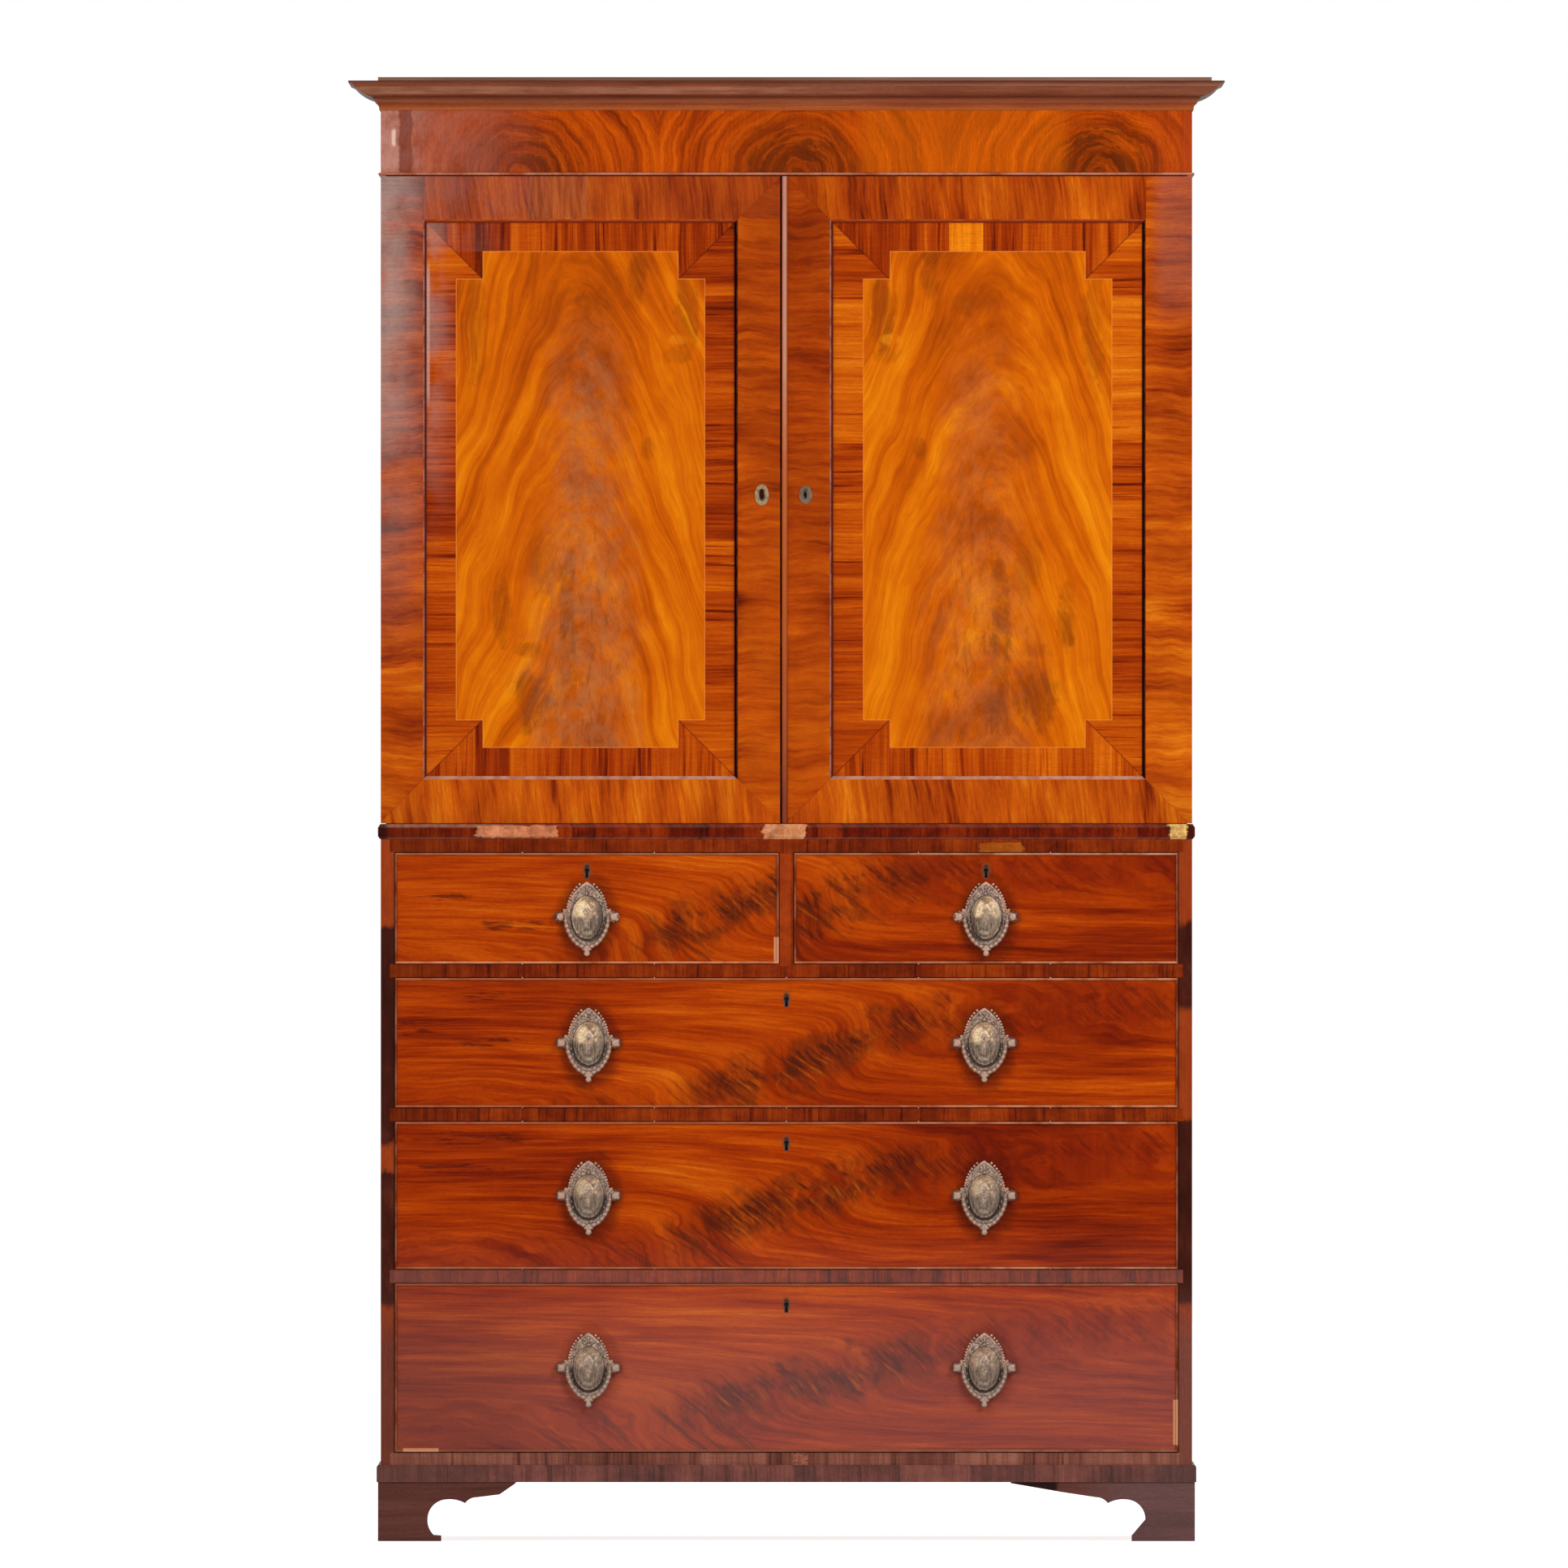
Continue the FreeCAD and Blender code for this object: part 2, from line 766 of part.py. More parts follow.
def bracket_outline(cut_short):
    """The bracket's face, from its outer corner: toe, hollow, cusp and wing."""
    top = size.foot_height
    radius = size.foot_hollow_radius
    centre_x = size.foot_toe_width + size.foot_hollow_back
    centre_z = top - size.foot_hollow_drop - radius
    points = [
        (0, 0),
        (size.foot_toe_width, 0),
        (size.foot_toe_width, size.foot_toe_lip),
    ]
    if cut_short:
        points.append((centre_x - radius, centre_z))
    else:
        lip_x = size.foot_toe_width - size.foot_toe_flat
        points.append((lip_x, size.foot_toe_lip + 1))
        points.append((centre_x - radius, centre_z, -radius))
    points.append((centre_x, centre_z + radius, -radius))
    cusp = (size.foot_cusp_reach, top - size.foot_cusp_drop, -size.foot_crown_radius)
    points.append(cusp)
    points.append((size.foot_step_reach, top - size.foot_step_drop, -size.foot_curve_radius))
    if cut_short:
        points.append((size.cut_foot_bend, top - size.cut_foot_bend_drop))
        points.append((size.cut_foot_reach, top - size.foot_tip))
        points.append((size.cut_foot_reach, top))
    else:
        points.append((size.foot_wing_reach, top - size.foot_wing_drop))
        points.append((size.foot_reach, top - size.foot_tip))
        points.append((size.foot_reach, top))
    points.append((0, top))
    return points


def plain_outline():
    """The narrow bracket at the back, out of sight."""
    top = size.foot_height
    return [(0, 0), (size.back_bracket_foot, 0), (size.back_bracket_reach, top), (0, top)]


def bracket(name, outline, sign):
    """A foot bracket from its outer corner along x, mitred to its neighbour."""
    body = new_body(name)
    thick = size.foot_thickness
    face = new_sketch(body, f"{name}_face", "XZ_Plane")
    points = []
    for point in outline:
        turned = [sign * as_length(point[0]), point[1]]
        if len(point) == 3:
            turned.append(sign * point[2])
        points.append(turned)
    draw(face, points)
    pad(body, face, thick)
    corner = new_sketch(body, f"{name}_mitre", "XY_Plane")
    spare = size.foot_proud
    far = sign * (thick + spare)
    near = -sign * spare
    draw(corner, [(near, -thick - spare), (far, spare), (near, spare)])
    pocket_through(body, corner)
    return body


def foot(name, side, end, outline):
    """Two mitred brackets and the glue block behind them."""
    sign = -1 if side == "left" else 1
    thick = size.foot_thickness
    outer = HALF + size.foot_proud
    corner_x = sign * outer
    inset_x = sign * (outer - thick)
    if end == "front":
        corner_y = FRONT - size.foot_proud
        inset_y = corner_y + thick
        face = bracket(f"{name}_face", outline, -sign)
        place(face, corner_x, inset_y, 0)
        flank = bracket(f"{name}_flank", bracket_outline(False), sign)
        place(flank, inset_x, corner_y, 0, sign * 90)
        block_y = (inset_y, inset_y + size.glue_block)
    else:
        corner_y = BACK
        inset_y = corner_y - thick
        face = bracket(f"{name}_face", outline, sign)
        place(face, corner_x, inset_y, 0, 180)
        flank = bracket(f"{name}_flank", bracket_outline(False), -sign)
        place(flank, inset_x, corner_y, 0, sign * 90)
        block_y = (inset_y - size.glue_block, inset_y)
    inner = outer - thick
    block_x = span(sign, inner - size.glue_block, inner)
    block = box(f"{name}_block", block_x, block_y, (ZERO, size.foot_height))
    node(name, face, flank, block)


def feet():
    foot("foot_front_left", "left", "front", bracket_outline(False))
    foot("foot_front_right", "right", "front", bracket_outline(True))
    foot("foot_back_left", "left", "back", plain_outline())
    foot("foot_back_right", "right", "back", plain_outline())


# ---------------------------------------------------------------- upper case


def upper_side(side):
    name = f"upper_side_{side}"
    sign = -1 if side == "left" else 1
    x = span(sign, UPPER_INNER, UPPER_HALF)
    board = box(f"{name}_board", x, (UPPER_FRONT, BACK), (WAIST, UPPER_TOP))
    housed = span(sign, UPPER_INNER, UPPER_INNER + size.housing_depth)
    y = (UPPER_FRONT, BOARD_BACK)
    thick = size.upper_board_thickness
    tools = [
        box(f"{name}_low_housing", housed, y, (WAIST, WAIST + thick)),
        box(f"{name}_high_housing", housed, y, (UPPER_TOP - thick, UPPER_TOP)),
    ]
    rebate = span(sign, UPPER_INNER, UPPER_INNER + size.back_rebate)
    tools.append(box(f"{name}_rebate", rebate, (BOARD_BACK, BACK), (WAIST, UPPER_TOP)))
    for place_name, z in hinge_heights():
        tools.append(case_leaf(f"{name}_recess_{place_name}", sign, z, ZERO))
    node(name, cut(f"{name}_cut", board, *tools))


def tray_levels():
    first = WAIST + size.upper_board_thickness + size.first_tray_rise
    return [first + index * size.tray_pitch for index in range(int(size.tray_count.value))]


def tray_side_outline(low, back):
    """A tray side from above: level at the back, scooped down to the low front."""
    top = low + size.tray_side_height
    front_top = low + size.tray_front_height
    drop = size.tray_side_height - size.tray_front_height
    scoop = size.tray_scoop_radius
    return [(0, low), (back, low), (back, top), (scoop, top), (0, front_top, (scoop + drop))]


def tray(number, level):
    """A sliding tray: bottom, two scooped sides, a back and a low front."""
    name = f"tray_{number}"
    thick = size.tray_thickness
    outer = UPPER_INNER - size.tray_side_gap
    front = UPPER_FRONT + size.tray_front_setback
    length = BOARD_BACK - size.drawer_back_space / 2 - front
    foot = level + size.running_gap
    inner = outer - thick
    bottom_z = (foot, foot + size.tray_bottom_thickness)
    members = [box(f"{name}_bottom", (-inner, inner), (front, front + length), bottom_z)]
    for side, sign in (("left", -1), ("right", 1)):
        body = new_body(f"{name}_{side}")
        outline = new_sketch(body, f"{name}_{side}_outline", "YZ_Plane")
        draw(outline, tray_side_outline(ZERO, length))
        pad(body, outline, thick)
        members.append(place(body, span(sign, inner, outer)[0], front, foot))
    back_y = (front + length - thick, front + length)
    back_z = (bottom_z[1], foot + size.tray_side_height)
    members.append(box(f"{name}_back", (-inner, inner), back_y, back_z))
    front_z = (bottom_z[1], foot + size.tray_front_height)
    members.append(box(f"{name}_front", (-inner, inner), (front, front + thick), front_z))
    node(name, *members)


def upper_case():
    upper_side("left")
    upper_side("right")
    reach = UPPER_INNER + size.housing_depth
    thick = size.upper_board_thickness
    y = (UPPER_FRONT, BOARD_BACK)
    node("upper_bottom", box("floor_board", (-reach, reach), y, (WAIST, WAIST + thick)))
    node("upper_top", box("ceiling_board", (-reach, reach), y, (UPPER_TOP - thick, UPPER_TOP)))
    back_boards("upper_back", UPPER_INNER + size.back_rebate, WAIST, UPPER_TOP, 6)
    strips = []
    for number, level in enumerate(tray_levels(), start=1):
        z = (level - size.tray_runner_height, level)
        for side, sign in (("left", -1), ("right", 1)):
            x = span(sign, UPPER_INNER - size.tray_runner_width, UPPER_INNER)
            strips.append(box(f"tray_runner_{number}_{side}", x, y, z))
    node("tray_runners", *strips)
    for number, level in enumerate(tray_levels(), start=1):
        tray(number, level)


# ---------------------------------------------------------------- hinges

PIN_X = HALF - size.knuckle_radius
PIN_Y = DOOR_BACK + size.door_case_gap / 2


def hinge_heights():
    """The foot of each butt hinge on a door."""
    return [
        ("low", DOOR_FOOT + size.hinge_inset),
        ("high", DOOR_TOP - size.hinge_inset - size.hinge_length),
    ]


def case_leaf(name, sign, z, root):
    """A case leaf, or its recess; root keeps it off the pin's axis by that much."""
    x = span(sign, PIN_X - size.leaf_width, PIN_X - root)
    y = (UPPER_FRONT, UPPER_FRONT + size.leaf_thickness)
    return box(name, x, y, (z, z + size.hinge_length))


def door_leaf(name, sign, z, root):
    x = span(sign, PIN_X - size.leaf_width, PIN_X - root)
    y = (DOOR_BACK - size.leaf_thickness, DOOR_BACK)
    return box(name, x, y, (z, z + size.hinge_length))


def knuckle_thirds(z):
    """The z ranges of a hinge's three knuckles, with small gaps between them."""
    third = size.hinge_length / 3
    gap = size.knuckle_end_gap / 2
    return [
        (z, z + third - gap),
        (z + third + gap, z + 2 * third - gap),
        (z + 2 * third + gap, z + size.hinge_length),
    ]


def hinge(side, place_name, z):
    """One butt hinge: the case leaf with its pin, and the door leaf."""
    sign = -1 if side == "left" else 1
    name = f"hinge_{side}_{place_name}"
    clear = size.knuckle_radius + size.knuckle_notch_clearance
    thirds = knuckle_thirds(z)
    gap = size.knuckle_end_gap / 2
    pin_x = sign * PIN_X
    outer = size.knuckle_radius
    low, middle, high = thirds

    case_parts = [case_leaf(f"{name}_case_plate", sign, z, ZERO)]
    for label, third in (("foot", low), ("head", high)):
        case_parts.append(rod(f"{name}_{label}", outer, "z", *third, pin_x, PIN_Y))
    pin = rod(f"{name}_pin", size.hinge_pin_radius, "z", low[1] - gap, high[0] + gap, pin_x, PIN_Y)
    case_plate = fuse(f"{name}_case_fuse", *case_parts)
    middle_space = (middle[0] - gap, middle[1] + gap)
    turning = box(f"{name}_turning", span(sign, PIN_X - clear, HALF),
                  (PIN_Y - clear, PIN_Y + clear), middle_space)
    case_cut = cut(f"{name}_case_cut", case_plate, turning)
    case_half = fuse(f"{name}_case", case_cut, pin)

    barrel = rod(f"{name}_barrel", outer, "z", *middle, pin_x, PIN_Y)
    plate = door_leaf(f"{name}_door_plate", sign, z, ZERO)
    notches = []
    for label, third in (("foot", (low[0], low[1] + 2 * gap)), ("head", (high[0] - 2 * gap, high[1]))):
        notches.append(box(f"{name}_{label}_notch", span(sign, PIN_X - clear, HALF),
                           (PIN_Y - clear, PIN_Y + clear), third))
    door_cut = cut(f"{name}_door_cut", plate, *notches)
    door_fuse = fuse(f"{name}_door_fuse", door_cut, barrel)
    bore_radius = size.hinge_pin_radius + size.pivot_clearance
    bore = rod(f"{name}_bore", bore_radius, "z", middle[0] - gap, middle[1] + gap, pin_x, PIN_Y)
    door_half = cut(f"{name}_door", door_fuse, bore)
    return case_half, door_half


def hinges():
    case_halves = []
    for side in ("left", "right"):
        door_halves = []
        for place_name, z in hinge_heights():
            case_half, door_half = hinge(side, place_name, z)
            case_halves.append(case_half)
            door_halves.append(door_half)
        node(f"{side}_door_hinge_leaves", *door_halves)
    node("case_hinge_leaves", *case_halves)


# ---------------------------------------------------------------- doors


def keyhole(name, x, top, y, grow):
    """A keyhole through y: a round eye at the top with a slot below it."""
    radius = size.keyhole_radius + grow
    half = size.keyhole_slot_width / 2 + grow
    eye = rod(f"{name}_eye", radius, "y", y[0], y[1], x, top)
    foot = top - size.keyhole_slot_length - grow
    slot = box(f"{name}_slot", (x - half, x + half), y, (foot, top))
    return fuse(name, eye, slot)


def oval(name, x, z, half_width, half_height, y, thickness):
    """A flat oval plate standing out from y towards the front."""
    tall = half_height.value >= half_width.value
    ring = doc.addObject("Part::Ellipse", f"{name}_ring")
    bind(ring, MajorRadius=half_height if tall else half_width)
    bind(ring, MinorRadius=half_width if tall else half_height)
    ring.Placement = FreeCAD.Placement(FreeCAD.Vector(0, 0, 0), oval_turn(tall))
    move(ring, x, y, z)
    plate = doc.addObject("Part::Extrusion", name)
    plate.Base = ring
    plate.DirMode = "Custom"
    plate.Dir = FreeCAD.Vector(0, -1, 0)
    plate.Solid = True
    bind(plate, LengthFwd=thickness)
    return plate


def oval_turn(tall):
    upright = FreeCAD.Rotation(FreeCAD.Vector(1, 0, 0), 90)
    along = FreeCAD.Rotation(FreeCAD.Vector(0, 0, 1), 90 if tall else 0)
    return upright.multiply(along)


def door_member(name, x, z, *tools, tongues=()):
    board = box(f"{name}_board", x, (DOOR_FACE, DOOR_BACK), z)
    if tongues:
        board = fuse(f"{name}_tenoned", board, *tongues)
    return cut(name, board, *tools)


def door(side, x, left_stile, right_stile):
    """A framed door: tenoned rails, a panel in grooves and a planted moulding."""
    name = f"{side}_door"
    sign = -1 if side == "left" else 1
    inner_x = (x[0] + left_stile, x[1] - right_stile)
    inner_z = (DOOR_FOOT + size.bottom_rail_width, DOOR_TOP - size.top_rail_width)
    groove_y = (DOOR_FACE + size.panel_recess, DOOR_FACE + size.panel_recess + size.panel_thickness)
    deep = size.panel_groove
    grooved_x = (inner_x[0] - deep, inner_x[1] + deep)
    grooved_z = (inner_z[0] - deep, inner_z[1] + deep)
    tenon_low = DOOR_FACE + (size.door_thickness - size.tenon_thickness) / 2
    tenon_y = (tenon_low, tenon_low + size.tenon_thickness)
    tenon_x = (inner_x[0] - size.tenon_length, inner_x[1] + size.tenon_length)
    rails = {
        "bottom": (DOOR_FOOT, inner_z[0]),
        "top": (inner_z[1], DOOR_TOP),
    }
    tenon_z = {
        "bottom": (DOOR_FOOT + deep, inner_z[0] - deep),
        "top": (inner_z[1] + deep, DOOR_TOP - deep),
    }

    def panel_space(label):
        return box(f"{name}_{label}_groove", grooved_x, groove_y, grooved_z)

    members = []
    for rail, z in rails.items():
        tongue = box(f"{name}_{rail}_tenon", tenon_x, tenon_y, tenon_z[rail])
        members.append(door_member(f"{name}_{rail}_rail", inner_x, z,
                                   panel_space(f"{rail}_rail"), tongues=[tongue]))
    stiles = {"left": (x[0], inner_x[0]), "right": (inner_x[1], x[1])}
    for stile, stile_x in stiles.items():
        label = f"{name}_{stile}_stile"
        tools = [panel_space(f"{stile}_stile")]
        for rail, z in tenon_z.items():
            tools.append(box(f"{label}_{rail}_mortise", tenon_x, tenon_y, z))
        if stile == side:
            tools += hinge_recesses(label, sign)
        else:
            tools += lock_recesses(label, side, x)
        members.append(door_member(label, stile_x, (DOOR_FOOT, DOOR_TOP), *tools))
    members += panel_moulding(name, inner_x, inner_z)
    node(f"{name}_frame", *members)

    play = size.panel_play
    panel_x = (grooved_x[0] + play, grooved_x[1] - play)
    panel_z = (grooved_z[0] + play, grooved_z[1] - play)
    node(f"{name}_panel", box(f"{name}_panel_board", panel_x, groove_y, panel_z))


def hinge_recesses(label, sign):
    """Recesses for the door leaves, with a notch round each row of knuckles."""
    tools = []
    clear = size.knuckle_radius + size.knuckle_notch_clearance
    for place_name, z in hinge_heights():
        tools.append(door_leaf(f"{label}_{place_name}_leaf_recess", sign, z, ZERO))
        top = z + size.hinge_length
        notch = (z - size.knuckle_end_gap, top + size.knuckle_end_gap)
        tools.append(rod(f"{label}_{place_name}_notch", clear, "z", *notch, sign * PIN_X, PIN_Y))
        edge_y = (PIN_Y - clear, DOOR_BACK)
        edge_x = span(sign, PIN_X, HALF)
        tools.append(box(f"{label}_{place_name}_edge", edge_x, edge_y, notch))
    return tools


def escutcheon_x(side, x):
    return x[1] - size.escutcheon_inset if side == "left" else x[0] + size.escutcheon_inset


def escutcheon_z():
    return DOOR_FOOT + size.escutcheon_height


def lock_recesses(label, side, x):
    """The keyhole, and behind the right door's the lock's recess."""
    centre = escutcheon_x(side, x)
    top = escutcheon_z() + size.keyhole_slot_length / 2
    if side == "left":
        blind = (DOOR_FACE, DOOR_FACE + size.panel_recess)
        return [keyhole(f"{label}_keyhole", centre, top, blind, ZERO)]
    through = (DOOR_FACE, DOOR_BACK)
    return [keyhole(f"{label}_keyhole", centre, top, through, ZERO), door_lock_case(label, x)]


def door_lock_case(label, x):
    centre = escutcheon_x("right", x)
    low = escutcheon_z() - size.door_lock_height / 2
    across = (centre - size.door_lock_width / 2, centre + size.door_lock_width / 2)
    depth = (DOOR_BACK - size.lock_depth, DOOR_BACK)
    return box(f"{label}_lock_case", across, depth, (low, low + size.door_lock_height))


def panel_moulding(name, x, z):
    """Four mitred, bevelled strips planted between the frame and the panel."""
    wide = size.moulding_width
    front = DOOR_FACE + size.moulding_front_drop
    back = DOOR_FACE + size.panel_recess
    inner = back - size.moulding_inner_edge
    strips = []
    upright = z[1] - z[0]
    level_run = x[1] - x[0]
    runs = (
        ("bottom", level_run, x[0], z[0], 0),
        ("right", upright, x[1], z[0], 90),
        ("top", level_run, x[1], z[1], 180),
        ("left", upright, x[0], z[1], 270),
    )
    for label, run, corner_x, corner_z, turn in runs:
        # The bar lies along its own x, its mitred width goes up its own y, and
        # its depth towards the viewer is its own z.
        bar = wedge(f"{name}_{label}_moulding", (ZERO, run), (ZERO, wide), (ZERO, back - front),
                    (wide, run - wide), (ZERO, back - inner))
        stood = FreeCAD.Rotation(FreeCAD.Vector(1, 0, 0), 90)
        spun = FreeCAD.Rotation(FreeCAD.Vector(0, 0, 1), turn)
        bar.Placement = FreeCAD.Placement(FreeCAD.Vector(0, 0, 0), stood.multiply(spun))
        strips.append(move(bar, corner_x, back, corner_z))
    return strips


def doors():
    left = (-HALF, -HALF + size.left_door_width)
    bead_left = left[1] + size.meeting_gap
    right = (bead_left + size.closing_bead_width, HALF)
    door("left", left, size.stile_width, size.stile_width)
    door("right", right, size.stile_width, size.right_hinge_stile_width)
    bead_y = (DOOR_FACE - size.closing_bead_proud, DOOR_BACK)
    node("closing_bead", box("bead_strip", (bead_left, right[0]), bead_y, (DOOR_FOOT, DOOR_TOP)))

    z = escutcheon_z()
    top = z + size.keyhole_slot_length / 2
    thick = size.escutcheon_thickness
    in_front = (DOOR_FACE - thick, DOOR_FACE)
    left_x = escutcheon_x("left", left)
    left_plate = oval("left_plate", left_x, z, size.left_escutcheon_half_width,
                      size.left_escutcheon_half_height, DOOR_FACE, thick)
    left_hole = keyhole("left_plate_hole", left_x, top, in_front, ZERO)
    node("left_door_escutcheon", cut("left_plate_cut", left_plate, left_hole))
    right_x = escutcheon_x("right", right)
    right_plate = oval("right_plate", right_x, z, size.right_escutcheon_half_width,
                       size.right_escutcheon_half_height, DOOR_FACE, thick)
    right_hole = keyhole("right_plate_hole", right_x, top, in_front, ZERO)
    plate = cut("right_plate_cut", right_plate, right_hole)
    node("right_door_lock", plate, door_lock_case("right_door", right))


# ---------------------------------------------------------------- drawers


def cock_beads(name, x, z):
    """Four mitred strips round a drawer front, with rounded noses."""
    thick = size.bead_thickness
    nose = FRONT - size.bead_proud
    strips = []
    runs = (
        ("bottom", x[1] - x[0], x[0], z[0], 0),
        ("right", z[1] - z[0], x[1], z[0], -90),
        ("top", x[1] - x[0], x[1], z[1], 180),
        ("left", z[1] - z[0], x[0], z[1], 90),
    )
    for label, run, corner_x, corner_z, turn in runs:
        body = new_body(f"{name}_{label}_bead")
        strip = new_sketch(body, f"{name}_{label}_strip", "XZ_Plane")
        draw(strip, [(0, 0), (run, 0), (run - thick, thick), (thick, thick)])
        bar = pad(body, strip, size.bead_depth + size.bead_proud)
        rounded = body.newObject("PartDesign::Fillet", f"{name}_{label}_nose")
        rounded.Base = (bar, long_front_edges(body, bar))
        bind(rounded, Radius=size.bead_nose_radius)
        turned = FreeCAD.Rotation(FreeCAD.Vector(0, 1, 0), turn)
        body.Placement = FreeCAD.Placement(FreeCAD.Vector(0, 0, 0), turned)
        strips.append(move(body, corner_x, FRONT + size.bead_depth, corner_z))
    return strips


def long_front_edges(body, feature):
    """Names of the edges along x on the face that is farthest forward."""
    doc.recompute()
    shape = feature.Shape
    front = shape.BoundBox.YMin
    names = []
    for index, edge in enumerate(shape.Edges, start=1):
        bounds = edge.BoundBox
        on_front = abs(bounds.YMin - front) < 0.01 and abs(bounds.YMax - front) < 0.01
        if on_front and bounds.ZLength < 0.01:
            names.append(f"Edge{index}")
    return names


def dovetails(name, side_x, z, count, root_y, end_y):
    """Tails on the end of a drawer side, wider at their ends than at their roots."""
    pitch = (z[1] - z[0]) / count
    root = size.dovetail_root / 2
    end = size.dovetail_end / 2
    tails = []
    for index in range(count):
        middle = z[0] + (index + 0.5) * pitch
        tails.append(wedge(f"{name}_{index + 1}", side_x, (end_y, root_y),
                           (middle - end, middle + end), side_x, (middle - root, middle + root)))
    return tails


def drawer(name, x, z, key_drop, handle_places):
    """A drawer: veneered front with cock beads, dovetailed sides, back, bottom."""
    gap = size.drawer_gap
    outer_x = (x[0] + gap, x[1] - gap)
    outer_z = (z[0] + gap, z[1] - gap)
    bead = size.bead_thickness
    face_back = FRONT + size.front_thickness
    bead_back = FRONT + size.bead_depth
    side = size.drawer_side_thickness
    centre = (x[0] + x[1]) / 2

    side_z = (z[0] + size.running_gap, outer_z[1] - size.drawer_side_drop)
    side_end = BOARD_BACK - size.drawer_back_space
    bottom_low = side_z[0] + size.drawer_bottom_rise
    bottom_z = (bottom_low, bottom_low + size.drawer_bottom_thickness)
    groove = size.drawer_groove
    inner_x = (outer_x[0] + side, outer_x[1] - side)
    bottom_x = (inner_x[0] - groove, inner_x[1] + groove)
    bottom_y = (face_back - groove, side_end)
    lap = FRONT + size.dovetail_lap + size.bead_depth / 2
    count = max(2, int((side_z[1].value - side_z[0].value) // size.dovetail_pitch.value))
    tail_z = (side_z[0], side_z[1])
    side_ranges = {"left": (outer_x[0], inner_x[0]), "right": (inner_x[1], outer_x[1])}

    core_x = (outer_x[0] + bead, outer_x[1] - bead)
    core_z = (outer_z[0] + bead, outer_z[1] - bead)
    core = box(f"{name}_core", core_x, (FRONT, bead_back), core_z)
    slab = box(f"{name}_slab", outer_x, (bead_back, face_back), outer_z)
    front = fuse(f"{name}_face", core, slab)
    tools = [box(f"{name}_front_groove", bottom_x, (bottom_y[0], face_back), bottom_z)]
    for label, side_x in side_ranges.items():
        tools += dovetails(f"{name}_{label}_socket", side_x, tail_z, count, face_back, lap)
    key_z = outer_z[1] - key_drop
    tools.append(keyhole(f"{name}_keyhole", centre, key_z, (FRONT, face_back), ZERO))
    lining_y = (FRONT, FRONT + size.lining_depth)
    tools.append(keyhole(f"{name}_lining_seat", centre, key_z, lining_y, size.lining_wall))
    tools.append(drawer_lock(f"{name}_lock_recess", centre, key_z, face_back))
    hole_y = (FRONT, face_back)
    for index, (handle_x, handle_z) in enumerate(handle_places, start=1):
        for label, post_x in post_places(handle_x):
            hole = f"{name}_hole_{index}_{label}"
            tools.append(rod(hole, size.post_radius, "y", *hole_y, post_x, handle_z))
    board = cut(f"{name}_board", front, *tools)
    node(f"{name}_drawer_front", board, *cock_beads(name, outer_x, outer_z))

    members = []
    for label, side_x in side_ranges.items():
        plank = box(f"{name}_{label}_plank", side_x, (face_back, side_end), side_z)
        tails = dovetails(f"{name}_{label}_tail", side_x, tail_z, count, face_back, lap)
        slot_y = (face_back - groove, side_end)
        slot = box(f"{name}_{label}_slot", bottom_x, slot_y, bottom_z)
        joined = fuse(f"{name}_{label}_joined", plank, *tails)
        members.append(cut(f"{name}_{label}_side", joined, slot))
    back_y = (side_end - size.drawer_back_thickness, side_end)
    members.append(box(f"{name}_back", inner_x, back_y, (bottom_z[1], side_z[1])))
    members.append(box(f"{name}_bottom", bottom_x, bottom_y, bottom_z))
    node(f"{name}_drawer_box", *members)

    outer = keyhole(f"{name}_lining_outer", centre, key_z, lining_y, size.lining_wall)
    inner = keyhole(f"{name}_lining_inner", centre, key_z, lining_y, ZERO)
    lining = cut(f"{name}_lining", outer, inner)
    fittings = [lining, drawer_lock(f"{name}_lock", centre, key_z, face_back)]
    for index, (handle_x, handle_z) in enumerate(handle_places, start=1):
        fittings += handle_fittings(f"{name}_{index}", handle_x, handle_z, face_back)
    node(f"{name}_drawer_fittings", *fittings)
    for index, (handle_x, handle_z) in enumerate(handle_places):
        place_name = "" if len(handle_places) == 1 else ("_left", "_right")[index]
        bail(f"{name}{place_name}_bail", handle_x, handle_z)


def drawer_lock(name, x, key_z, face_back):
    half = size.lock_width / 2
    top = key_z + size.lock_height / 2
    depth = (face_back - size.lock_depth, face_back)
    return box(name, (x - half, x + half), depth, (top - size.lock_height, top))


def post_places(handle_x):
    half = size.post_spacing / 2
    return (("left", handle_x - half), ("right", handle_x + half))


# ---------------------------------------------------------------- handles


def handle_fittings(name, x, z, face_back):
    """The pointed oval plate with its ears and dome, two posts and two nuts."""
    thick = size.plate_thickness
    blank = plate_slab(f"{name}_blank", x, z, ZERO, FRONT)
    dished = plate_slab(f"{name}_dished", x, z, size.plate_rim_width, FRONT - thick)
    members = [cut(f"{name}_rimmed", blank, dished), dome(f"{name}_dome", x, z)]
    plate_y = (FRONT - thick, FRONT)
    half = size.post_spacing / 2
    bar_z = (z - size.ear_radius * 0.7, z + size.ear_radius * 0.7)
    members.append(box(f"{name}_ear_bar", (x - half, x + half), plate_y, bar_z))
    holes = []
    for label, post_x in post_places(x):
        members.append(rod(f"{name}_ear_{label}", size.ear_radius, "y", *plate_y, post_x, z))
        holes.append(rod(f"{name}_ear_hole_{label}", size.post_radius, "y", *plate_y, post_x, z))
    plate = cut(f"{name}_plate", fuse(f"{name}_stamped", *members), *holes)
    pieces = [plate]
    for label, post_x in post_places(x):
        pieces += post(f"{name}_{label}", post_x, z, face_back, 1 if label == "left" else -1)
    return pieces


